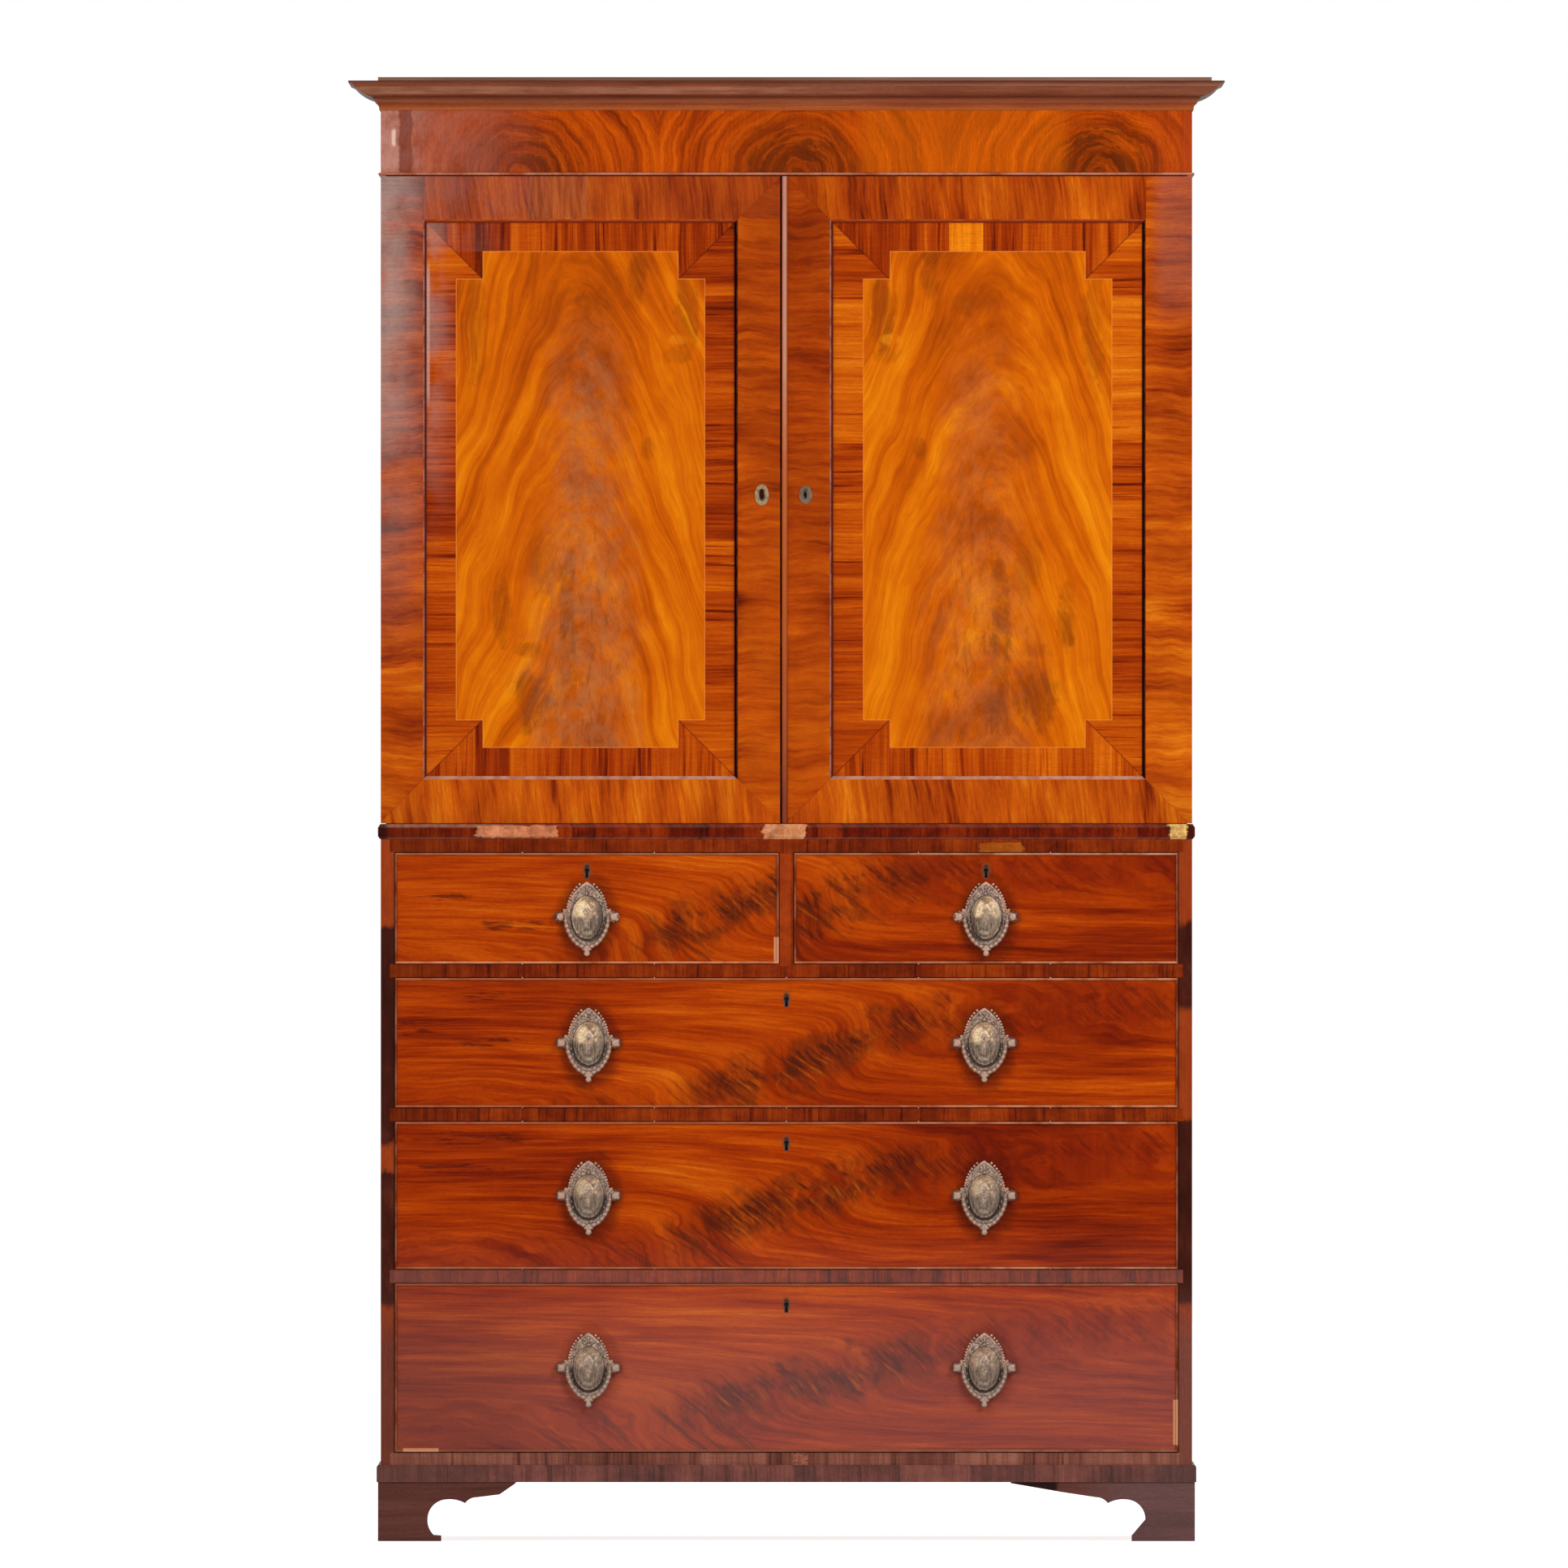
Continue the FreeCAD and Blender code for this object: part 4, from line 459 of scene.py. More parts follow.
def frieze_material():
    """Crotch veneers side by side: nested arches over the foot and straight lines between."""
    paint = Paint("frieze_flame_veneer")
    x, z = paint.x, paint.z
    low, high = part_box("frieze")
    near = None
    for crown in (column(638), column(984), column(1352)):
        away = abs(x - crown)
        near = away if near is None else near.least(away)
    rise = z - low.z
    bend = paint.noise(x * 14, z * 10, 2.0, detail=4) - 0.5
    sway = near + bend * 0.025
    lift = (rise + bend * 0.03) * 1.1
    line = hypot(paint, sway, lift)
    apart = near.ease(0.10, 0.16)
    broad = paint.noise(line * 34, rise * 5, 1.0, detail=4, rough=0.62)
    ring = paint.noise(line * 85, x * 9, 3.0, rough=0.62)
    fine = paint.noise(line * 330, rise * 9, 5.0, detail=2)
    level = broad * 0.6 + ring * 0.95 + fine * 0.35 - 0.475 + apart * 0.03
    paint.colour = paint.ramp(level, (0.22, "#702000"), (0.38, "#943200"), (0.54, "#B44400"),
                              (0.7, "#CC5602"), (0.88, "#DC7008"))

    # Dark cores under the arches, and bloom and stains toward both ends.
    torn = paint.noise(x * 40, z * 40, 6.0, detail=5, rough=0.7)
    core = (line + (torn - 0.5) * 0.09).ease(0.12, 0.05)
    dark = paint.noise(line * 80, x * 20, 9.0, detail=4, rough=0.66).ease(0.42, 0.58)
    paint.lay(core * (dark * 0.58 + 0.22), "#4E1E02")
    strokes = paint.noise(line * 60, rise * 5, 12.0).ease(0.52, 0.64)
    paint.lay(strokes * apart * 0.6, "#862A02")
    cloud = paint.noise(x * 22, z * 22, 8.0, detail=5, rough=0.65).ease(0.3, 0.62)
    paint.lay(x.ease(column(720), column(600)) * 0.5, "#8E3010")
    veil = x.ease(column(690), column(520)) * 0.22 + x.ease(column(540), column(500)) * 0.22
    paint.lay(veil * (cloud * 0.9 + 0.3), "#B88878")
    left_end = x.ease(column(494), column(490))
    band = (x + (torn - 0.5) * 0.012).columns(493, 506, 3 * MM)
    mauve = paint.mix(cloud, "#94503E", "#BC8474")
    paint.lay(left_end * 0.8, mauve)
    paint.lay(band * 0.6, "#6A2A20")
    gold = x.columns(1075, 1300, 30 * MM)
    paint.lay(gold * 0.3, "#DE6E04")
    paint.lay(x.columns(905, 1035, 20 * MM) * 0.22, "#7A2A02")
    right_end = x.ease(column(1395), column(1440)) * 0.3
    right_end = right_end + x.ease(column(1452), column(1462)) * 0.5
    redder = paint.noise(x * 90, z * 4, 2.0, rough=0.5)
    paint.lay(right_end, paint.ramp(redder, (0.35, "#96300A"), (0.7, "#B8481A")))
    pale = x.columns(484, 486, 3 * MM)
    pale = pale * (z + (torn - 0.5) * 0.02).rows(176, 162, 6 * MM)
    paint.lay(pale * 0.75, "#F0CCBC")

    # The bead along the foot with a painted shadow along its underside, the rim under the
    # cornice, and what isn't veneered.
    bead = rise.ease(4.4 * MM, 4.0 * MM)
    worn = paint.mix(cloud * 0.6, "#9A4A2C", "#D09074")
    paint.lay(bead, worn)
    # Painted shadow along the underside of the bead.
    paint.lay(rise.ease(1.4 * MM, 0.8 * MM) * 0.8, "#4A180C")
    rim = z.ease(high.z - 5 * MM, high.z - MM)
    paint.lay(rim * (cloud * 0.3 + 0.15), "#C88058")
    behind = paint.y.ease(low.y + 5 * MM, low.y + 7 * MM)
    grain = paint.noise(paint.y * 60, z * 3, 4.0, detail=4)
    plain = paint.ramp(grain, (0.3, "#641E0C"), (0.5, "#883414"), (0.7, "#A44C20"))
    paint.lay(behind, plain)
    bare = paint.noise(x * 3, z * 70, 4.0, rough=0.5)
    bare = paint.ramp(bare, (0.3, "#7A5230"), (0.7, "#B08658"))
    paint.lay(paint.y.ease(high.y - 2 * MM, high.y - MM), bare)
    return varnished(paint, 0.34, z, x + paint.y)


def cornice_material():
    """Long-grained moulding with painted highlights along its nose, painted shadow in the groove
    under the fillet and painted shade on the side returns.
    """
    paint = Paint("cornice_mahogany")
    x, y, z = paint.x, paint.y, paint.z
    low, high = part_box("cornice")
    up = (z - low.z) / (high.z - low.z)
    broad = paint.noise((x + y) * 3, z * 90, 4.0, detail=4)
    sharp = paint.noise((x + y) * 9, z * 420, 6.0)
    blotch = paint.noise((x + y) * 9, z * 12, 9.0, rough=0.5)
    level = broad * 0.5 + sharp * 0.3 + blotch * 0.3 - 0.05
    paint.colour = paint.ramp(level, (0.3, "#5E2E1A"), (0.5, "#80452C"), (0.72, "#985A3E"))
    warm = paint.ramp(level, (0.3, "#6A260C"), (0.5, "#8A3C1A"), (0.72, "#AC5828"))
    paint.lay(up.ease(0.44, 0.40) * 0.8, warm)
    rub = paint.noise(x * 14, z * 120, 3.0, detail=4).ease(0.3, 0.65)
    rightward = x.ease(-0.1, 0.25)
    # A painted highlight along the nose, weaker toward the right, where a second painted
    # highlight lies higher up.
    nose_highlight = up.within(0.57, 0.76, 0.06) * (1 - rightward * 0.75)
    paint.lay(nose_highlight * (rub * 0.4 + 0.15), "#C48A70")
    fillet_highlight = up.within(0.83, 0.9, 0.03) * rightward
    paint.lay(fillet_highlight * 0.5, "#A87460")
    paint.lay(up.within(0.28, 0.38, 0.05) * 0.5, "#8E5840")
    paint.lay(up.ease(0.22, 0.04) * 0.6, "#AA5A2C")
    # Painted shadow in the groove under the fillet.
    groove = up.within(0.39, 0.47, 0.03)
    paint.lay(groove * 0.6, "#5A200C")
    paint.lay(up.ease(0.93, 0.97) * 0.7, "#3A1C14")
    # The returns at the sides carry painted shade.
    shaded_returns = (abs(x) - 0.577 + y + 0.254) > 0.0004
    paint.lay(shaded_returns * 0.7, "#2E0C06")
    shade, height = fibres(paint, x + y, z)
    paint.shade(shade)
    return paint.finish(0.5, height * 0.3, 0.0001, Coat_Weight=0.0, Specular_IOR_Level=0.05)


# ---------------------------------------------------------------- doors


def panel_opening(side):
    """The middle of a door's panel, and half the width and height of what is seen of it."""
    low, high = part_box(f"{side}_door_panel")
    return (low + high) / 2, (high.x - low.x) / 2 - GROOVE, (high.z - low.z) / 2 - GROOVE


def flame_figure(paint, side, x, z):
    """Crotch veneer: arches of streaks, a hazy plume up the middle and dark knots."""
    seed = 0.0 if side == "left" else 2.3
    away = abs(x)
    sway = paint.noise(x * 5, z * 3.5, seed + 1, detail=2, rough=0.5) - 0.5
    lift = paint.noise(x * 8, z * 4, seed + 7) - 0.5
    u = x + sway * 0.09
    spread = paint.math("SQRT", u * u + 0.0012) - 0.035
    arch = z + spread * (spread * 6.0 + 1.8) + lift * 0.10
    lumps = paint.noise(arch * 8, u * 6, seed + 2, detail=4, bend=0.4)
    tongues = paint.noise(arch * 24, u * 7, seed + 3, bend=0.2)
    streaks = paint.noise(arch * 90, u * 10, seed + 4)
    cloud = paint.noise(x * 18, z * 14, seed + 5, detail=4, rough=0.62)
    gold = away.ease(0.02, 0.15) * 0.10 - z.ease(0.06, 0.36) * 0.09 - 0.02
    gold = gold + (0.0 if side == "left" else z.ease(-0.25, -0.1) * 0.035)
    torn = paint.noise(arch * 16, x * 14, seed + 9, detail=5, rough=0.65) - 0.5
    width = paint.blend(z.ease(-0.34, 0.25), 0.075, 0.045)
    plume = paint.ease(width - abs(x - 0.008) + torn * 0.16, -0.03, 0.05) * z.ease(0.30, 0.14)
    lines = (tongues * 0.55 + streaks * 0.18 - 0.365) * (1 - plume * 0.65)
    level = lumps * 0.75 + lines + cloud * (0.25 + plume * 0.45) - plume * 0.225 + gold - 0.005
    flame = paint.ramp(level, (0.24, "#883400"), (0.38, "#AE4800"), (0.5, "#C85A00"),
                       (0.63, "#DA7002"), (0.8, "#EA8A08"))

    # Dark knots and branches, by their places from the panel's centre.
    ragged = (paint.noise(x * 34, z * 22, seed + 8, detail=5, rough=0.7) - 0.5) * 4.5
    fibre = paint.noise(arch * 40, u * 30, seed + 6, detail=5, rough=0.7).ease(0.3, 0.62)
    knots = (
        ((0.082, 0.315), (0.014, 0.045), 0.6),
        ((0.150, 0.27), (0.020, 0.060), 0.6),
        ((0.140, 0.205), (0.020, 0.012), 0.35),
        ((0.096, 0.073), (0.012, 0.016), 0.5),
        ((-0.112, -0.16), (0.014, 0.050), 0.6),
        ((-0.075, -0.215), (0.022, 0.012), 0.5),
        ((-0.068, -0.28), (0.030, 0.045), 0.7),
        ((-0.018, -0.20), (0.014, 0.140), 0.6),
        ((-0.055, -0.09), (0.025, 0.050), 0.4),
        ((-0.150, 0.24), (0.018, 0.090), 0.45),
        ((0.020, 0.28), (0.030, 0.020), 0.5),
    )
    for centre, reach, share in knots:
        spot = blot(x, z, centre, reach, ragged) * (fibre * 0.8 + 0.2)
        flame = paint.mix(spot * share, flame, "#7A3204")
    gleam = blot(x, z, (0.138, 0.228), (0.016, 0.008), ragged)
    flame = paint.mix(gleam * fibre * 0.45, flame, "#F09418")

    # The polish has dulled over the plume.
    grey = paint.noise(x * 42, z * 30, seed + 11, detail=5, rough=0.72).ease(0.36, 0.62)
    dull = 1.0 if side == "left" else 0.45
    flame = paint.mix(plume * (grey * 0.40 + 0.04) * dull, flame, "#A06C46")
    specks = paint.noise(x * 110, z * 26, seed + 13, detail=5, rough=0.75).ease(0.50, 0.64)
    lower = z.ease(0.15, -0.25) * 0.26 + 0.10
    flame = paint.mix(plume * specks * lower, flame, "#6A300A")
    return flame, arch, u


def panel_material(side):
    """A flame field with notched corners and stringing, inside crossbanding."""
    paint = Paint(f"{side}_flame_panel")
    centre, half_x, half_z = panel_opening(side)
    mirror = 1 if side == "left" else -1
    x = (paint.x - centre.x) * mirror
    z = paint.z - centre.z
    away_x = abs(x)
    away_z = abs(z)

    # The notched field: a wide and a tall rectangle laid over each other.
    wide_x, wide_z = 177.2 * MM, 314 * MM
    tall_x, tall_z = 139.1 * MM, 353.2 * MM
    wide = (away_x - wide_x).most(away_z - wide_z)
    tall = (away_x - tall_x).most(away_z - tall_z)
    outside = wide.least(tall)
    field = outside.ease(0.0003, -0.0003)
    string = abs(outside + 0.5 * MM).ease(0.8 * MM, 0.4 * MM)
    flame, arch, u = flame_figure(paint, side, x, z)

    # Crossbanding, mitred from the panel's corners to the notches.
    upright = (half_x - away_x) < (half_z - away_z)
    side_level = stripes(paint, z + 10.0, x, 2.0 if side == "left" else 5.0)
    end_level = stripes(paint, x + 20.0, z, 3.0 if side == "left" else 6.0, 0.05)
    bright = 0.06 + (paint.x > centre.x) * 0.03 if side == "right" else 0.0
    end_level = end_level - 0.03 + (z < 0.0) * bright * 1.2
    if side == "left":
        side_level = side_level - (x > 0.0) * z.ease(0.29, 0.31) * 0.2
        end_level = end_level - away_x.ease(0.12, 0.15) * (z > 0.0) * 0.12
    band = crossband_colour(paint, paint.blend(upright, end_level, side_level + bright))
    if side == "right":
        block = paint.x.columns(1170, 1211) * z.ease(tall_z - MM, tall_z)
        gold = paint.ramp(end_level, (0.3, "#D86C04"), (0.6, "#F08C10"))
        band = paint.mix(block, band, gold)
    mitre = abs((half_x - away_x) - (half_z - away_z))
    seam = mitre.ease(1.8 * MM, 0.4 * MM) * away_x.ease(tall_x - MM, tall_x)
    seam = seam * away_z.ease(wide_z - MM, wide_z)
    band = paint.mix(seam * 0.6, band, "#4A1004")
    if side == "left":
        # The polish has bloomed down the band's outer edge, under a painted sheen of reflected
        # light.
        bloom_and_sheen = x.ease(-0.172, -0.215) * paint.z.ease(row(700), row(420)) * 0.55
        bloom_and_sheen = bloom_and_sheen.most(x.ease(-0.08, -0.2) * z.ease(tall_z - MM, tall_z) * 0.2)
        bloom_and_sheen = bloom_and_sheen * paint.noise(x * 20, z * 14, 3.0, rough=0.5).ease(0.3, 0.6)
        band = paint.mix(bloom_and_sheen, band, "#B08478")
        # A painted highlight down the band beside the left-hand moulding.
        gleam = paint.x.columns(525, 528, 3 * MM)
        gleam = gleam * paint.z.rows(480, 340, 30 * MM)
        band = paint.mix(gleam * 0.4, band, "#E0C0B0")

    shade, height = fibres(paint, x, z)
    band = paint.tone(band, shade)
    mottle = paint.noise(arch * 170, u * 110, 5.0, detail=4, rough=0.7)
    flame = paint.tone(flame, mottle * 0.6 + 0.7)
    paint.colour = paint.mix(field, band, flame)
    paint.lay(string * 0.6, "#E08A3A")
    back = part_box(f"{side}_door_panel")[1].y
    inner = paint.y.ease(back - 1.5 * MM, back - 0.5 * MM)
    paint.lay(inner, plain_back(paint))
    return paint.polish(0.36, height)


def plain_back(paint, upright=1.0):
    """Plain mahogany on the inner face of a door; upright tells which way the grain runs."""
    x, z = paint.x, paint.z
    tall = paint.noise(x * 70, z * 2.5, 4.0, detail=4)
    flat = paint.noise(x * 2.5, z * 70, 6.0, detail=4)
    grain = paint.blend(upright, flat, tall)
    return paint.ramp(grain, (0.3, "#6A260E"), (0.5, "#8C3E1A"), (0.7, "#A8562A"))


def door_frame_material(side):
    """Crossbanded stiles and rails, mitred, with a small moulding round the panel."""
    paint = Paint(f"{side}_door_frame_veneer")
    centre, half_x, half_z = panel_opening(side)
    x = paint.x - centre.x
    z = paint.z - centre.z
    past_x = abs(x) - half_x
    past_z = abs(z) - half_z
    stile = past_x > past_z
    outward = -1 if side == "left" else 1
    corner = (x * outward > half_x) * (z > half_z - 0.03)
    stile = stile.most(corner)
    seed = 0.0 if side == "left" else 40.0

    def veneer(across, along, shift, pace, sway_size):
        """Grain along the member's width: soft dark lines one above another."""
        sway = paint.noise(along * 12, across * 5, shift, detail=2, rough=0.5) - 0.5
        line = across + sway * sway_size
        broad = paint.noise(line * 17 * pace, along * 4, shift, detail=4)
        sharp = paint.noise(line * 100 * pace, along * 7, shift + 2, detail=4, rough=0.66)
        dark = paint.noise(line * 36 * pace, along * 4, shift + 9, detail=4)
        return broad * 0.75 + sharp * 0.5 - 0.12 - dark.ease(0.56, 0.72) * 0.16

    upright = veneer(z + seed, x, 3.0 + seed, 1.0, 0.036)
    level_run = veneer(x + seed + z * 0.12, z, 8.0 + seed, 1.5, 0.014) + 0.03
    dim = abs(paint.x).ease(0.48, 0.56) * paint.z.ease(1.30, 1.75)
    upright = upright + (paint.x.ease(0.48, 0.50) * 0.07 - dim * 0.08)
    lift = 0.04 if side == "left" else 0.0
    inner = abs(paint.x).ease(0.07, 0.05) * (lift - paint.z.ease(1.35, 1.6) * 0.05)
    level = paint.blend(stile, level_run, upright) + inner
    calm = 1.5 - abs(paint.x).ease(0.07, 0.05) * 0.5
    level = (level + paint.z.ease(1.5, 1.05) * 0.05 - 0.5) * calm + 0.48
    paint.colour = paint.ramp(level, (0.20, "#581402"), (0.36, "#8A2C02"), (0.5, "#A84004"),
                              (0.66, "#C05406"), (0.85, "#D67410"))
    seam = abs(past_x - past_z).ease(1.4 * MM, 0.4 * MM) * past_x.ease(0.0, MM)
    plain = (x < 0.0) * (z < 0.0) * 0.22 if side == "left" else (x < 0.0) * 0.2
    paint.lay(seam * (1 - corner) * (plain + 0.08), "#3A0C04")
    butt = abs(x * outward - half_x).ease(1.2 * MM, 0.4 * MM) * z.ease(half_z, half_z + MM)
    paint.lay(butt * (0.6 if side == "left" else 0.3), "#4A1408")
    if side == "right":
        pink = x.ease(half_x + 2 * MM, half_x + 30 * MM) * paint.z.ease(row(420), row(330))
        paint.lay(pink * 0.35, "#A06050")
    else:
        # The polish has bloomed down the outer stile, under a painted sheen of reflected light.
        cloud = paint.noise(paint.x * 14, paint.z * 9, 3.0, detail=4)
        bloom_and_sheen = paint.x.ease(column(538), column(480)) * paint.z.ease(row(860), row(330))
        bloom_and_sheen = bloom_and_sheen * (cloud.ease(0.25, 0.6) * 0.45 + 0.2)
        paint.lay(bloom_and_sheen, "#B2968C")
        paint.lay(z.ease(half_z, half_z + 4 * MM) * (1 - corner) * 0.3, "#7E3018")
        # The same bloom and painted sheen over the top rail's left end.
        veil = paint.x.ease(column(760), column(520)) * paint.z.ease(row(300), row(240)) * 0.2
        paint.lay(veil * cloud.ease(0.3, 0.6), "#A08480")
        piece = paint.x.columns(652, 722, 3 * MM) * z.ease(half_z, half_z + MM)
        flecks = paint.noise(paint.x * 130, paint.z * 8, 7.0).ease(0.4, 0.6)
        group = paint.mix(flecks, "#7A3C20", "#B87048")
        paint.lay(piece * 0.3, group)
    shade, height = fibres(paint, paint.blend(stile, z, x), paint.blend(stile, x, z))
    spread = paint.noise(paint.x * 11, paint.z * 11, 21.0, detail=5, rough=0.65)
    paint.shade(shade * (spread * 0.7 + 0.65))

    # The planted moulding lies inside the opening and is worn pale in places. Its strips are lit
    # and shaded copies: painted highlights on the left-hand and bottom strips, painted shadow on
    # the right-hand strip, and the top strip in between.
    within = past_x.most(past_z).ease(0.0, -0.4 * MM)
    worn = paint.noise(x * 60, z * 60, 3.0, rough=0.5).ease(0.35, 0.6)
    crest = past_x.most(past_z).ease(-2.6 * MM, -1.6 * MM)
    upper = paint.mix(crest, "#8A3010", paint.mix(worn * 0.5, "#B04818", "#C87048"))
    lower = paint.mix(worn * 0.5, "#B4745A", "#D8A890")
    left_strip_lit = paint.mix(crest, "#5A2014", paint.mix(worn * 0.5, "#8A5044", "#BC948A"))
    # The right-hand strip is painted in shadow.
    rightward = paint.mix(crest, "#120404", paint.mix(worn * 0.4, "#3A1410", "#7A4436"))
    side_strips_lit_and_shaded = paint.mix(x > 0.0, left_strip_lit, rightward)
    end_strips_lit_and_shaded = paint.mix(z > 0.0, lower, upper)
    moulding = paint.mix(past_x > past_z, end_strips_lit_and_shaded, side_strips_lit_and_shaded)
    paint.lay(within, moulding)
    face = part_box(f"{side}_door_frame")[0].y
    inner = paint.y.ease(face + 14 * MM, face + 15 * MM)
    inner = inner.most(paint.y.ease(face + 2 * MM, face + 3 * MM) * (past_x.most(past_z) > MM))
    paint.lay(inner, plain_back(paint, stile))
    return paint.polish(0.34, height)


def closing_bead_material():
    """A round bead with a painted highlight along its crest and painted shade down its sides,
    paler at the top and darker near the foot.
    """
    paint = Paint("closing_bead_mahogany")
    low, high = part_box("closing_bead")
    rise = (paint.z - low.z) / (high.z - low.z)
    rub = paint.noise(paint.x * 60, paint.z * 20, 3.0, detail=4) - 0.5
    # The crest carries a painted highlight, the sides painted shade.
    crest = abs(paint.x - (low.x + high.x) / 2).ease(4.5 * MM, MM)
    pale = paint.ramp(rise + rub * 0.1, (0.0, "#803C26"), (0.16, "#A4532E"), (0.4, "#B05A2A"),
                      (0.56, "#B8653C"), (0.72, "#C68A6C"), (1.0, "#C68A78"))
    dark = paint.ramp(rise + rub * 0.1, (0.0, "#5E1C0A"), (0.3, "#943C0E"), (0.6, "#8E3C14"),
                      (1.0, "#702C1C"))
    paint.colour = paint.mix(crest * (rub * 0.4 + 0.9), dark, pale)
    return paint.finish(0.4, rub, 0.0001, **VARNISH)


# ---------------------------------------------------------------- drawers

# The feather's spine on each drawer front, by (x, z) points in millimetres.
SPINES = {
    "short_left": ((-280, 805), (-204, 846), (-128, 880), (-59, 906), (10, 930)),
    "short_right": ((-80, 790), (21, 880), (66, 912), (151, 940), (300, 955), (560, 968)),
    "shallow": ((-200, 606), (-70, 650), (40, 682), (118, 722), (207, 741), (390, 757),
                (560, 765)),
    "middle": ((-220, 400), (-70, 458), (78, 503), (125, 522), (207, 534), (393, 545),
               (560, 552)),
    "deep": ((-220, 160), (-50, 206), (16, 222), (133, 250), (190, 267), (427, 298),
             (560, 310)),
}

# Where a cock bead has chipped to paler wood: left and right pixel columns, then rows.
BEAD_LOSSES = {
    "short_left": ((954, 961, 1190, 1155),),
    "deep": ((1446, 1453, 1780, 1725), (497, 540, 1789, 1785)),
}

# Small dark marks: the pixel column and row of the middle, then the reach both ways in pixels.
MARKS = {
    "short_left": ((640, 1140, 60, 8), (545, 1105, 40, 5)),
    "short_right": ((1002, 1110, 18, 14), (1005, 1150, 20, 8)),
    "shallow": ((594, 1228, 34, 8), (512, 1270, 26, 16), (600, 1283, 40, 8)),
    "middle": ((585, 1402, 95, 8), (560, 1440, 60, 6)),
    "deep": (),
}


def follow(paint, x, points):
    """A height that follows (x, z) points in millimetres, level beyond both ends."""
    height = None
    for (start, foot), (end, head) in zip(points, points[1:]):
        node = paint.nodes.new("ShaderNodeMapRange")
        paint.feed(node.inputs["Value"], x)
        node.inputs["From Min"].default_value = start * MM
        node.inputs["From Max"].default_value = end * MM
        node.inputs["To Max"].default_value = (head - foot) * MM
        rise = Field(paint, node.outputs["Result"])
        height = rise + foot * MM if height is None else height + rise
    return height


def edge_of_front(paint, low, high):
    """1 on the cock beads round a drawer front."""
    gap_x = (paint.x - low.x).least(high.x - paint.x)
    gap_z = (paint.z - low.z).least(high.z - paint.z)
    return gap_x.least(gap_z).ease(3.4 * MM, 3.0 * MM)


def bead_colour(paint, name, low, high):
    """Level beads are worn paler than upright ones."""
    x, z = paint.x, paint.z
    worn = paint.noise(x * 25, z * 25, 8.0, detail=4).ease(0.35, 0.65)
    gap_x = (x - low.x).least(high.x - x)
    gap_z = (z - low.z).least(high.z - z)
    foot = (z - low.z).ease(6 * MM, 4 * MM)
    flat = paint.mix(worn * 0.6 * x.ease(0.0, 0.4) + worn * 0.3, "#964E2E", "#C88A68")
    if name.startswith("short"):
        rubbed = foot * paint.x.ease(0.1, -0.1)
        flat = paint.mix(rubbed, flat, paint.mix(worn, "#B8643C", "#D08A64"))
    if name == "deep":
        flat = paint.mix(0.5, flat, "#744436")
    tall = paint.mix(worn * 0.5, "#70280E", "#B07050")
    return paint.mix(gap_x < gap_z, flat, tall)


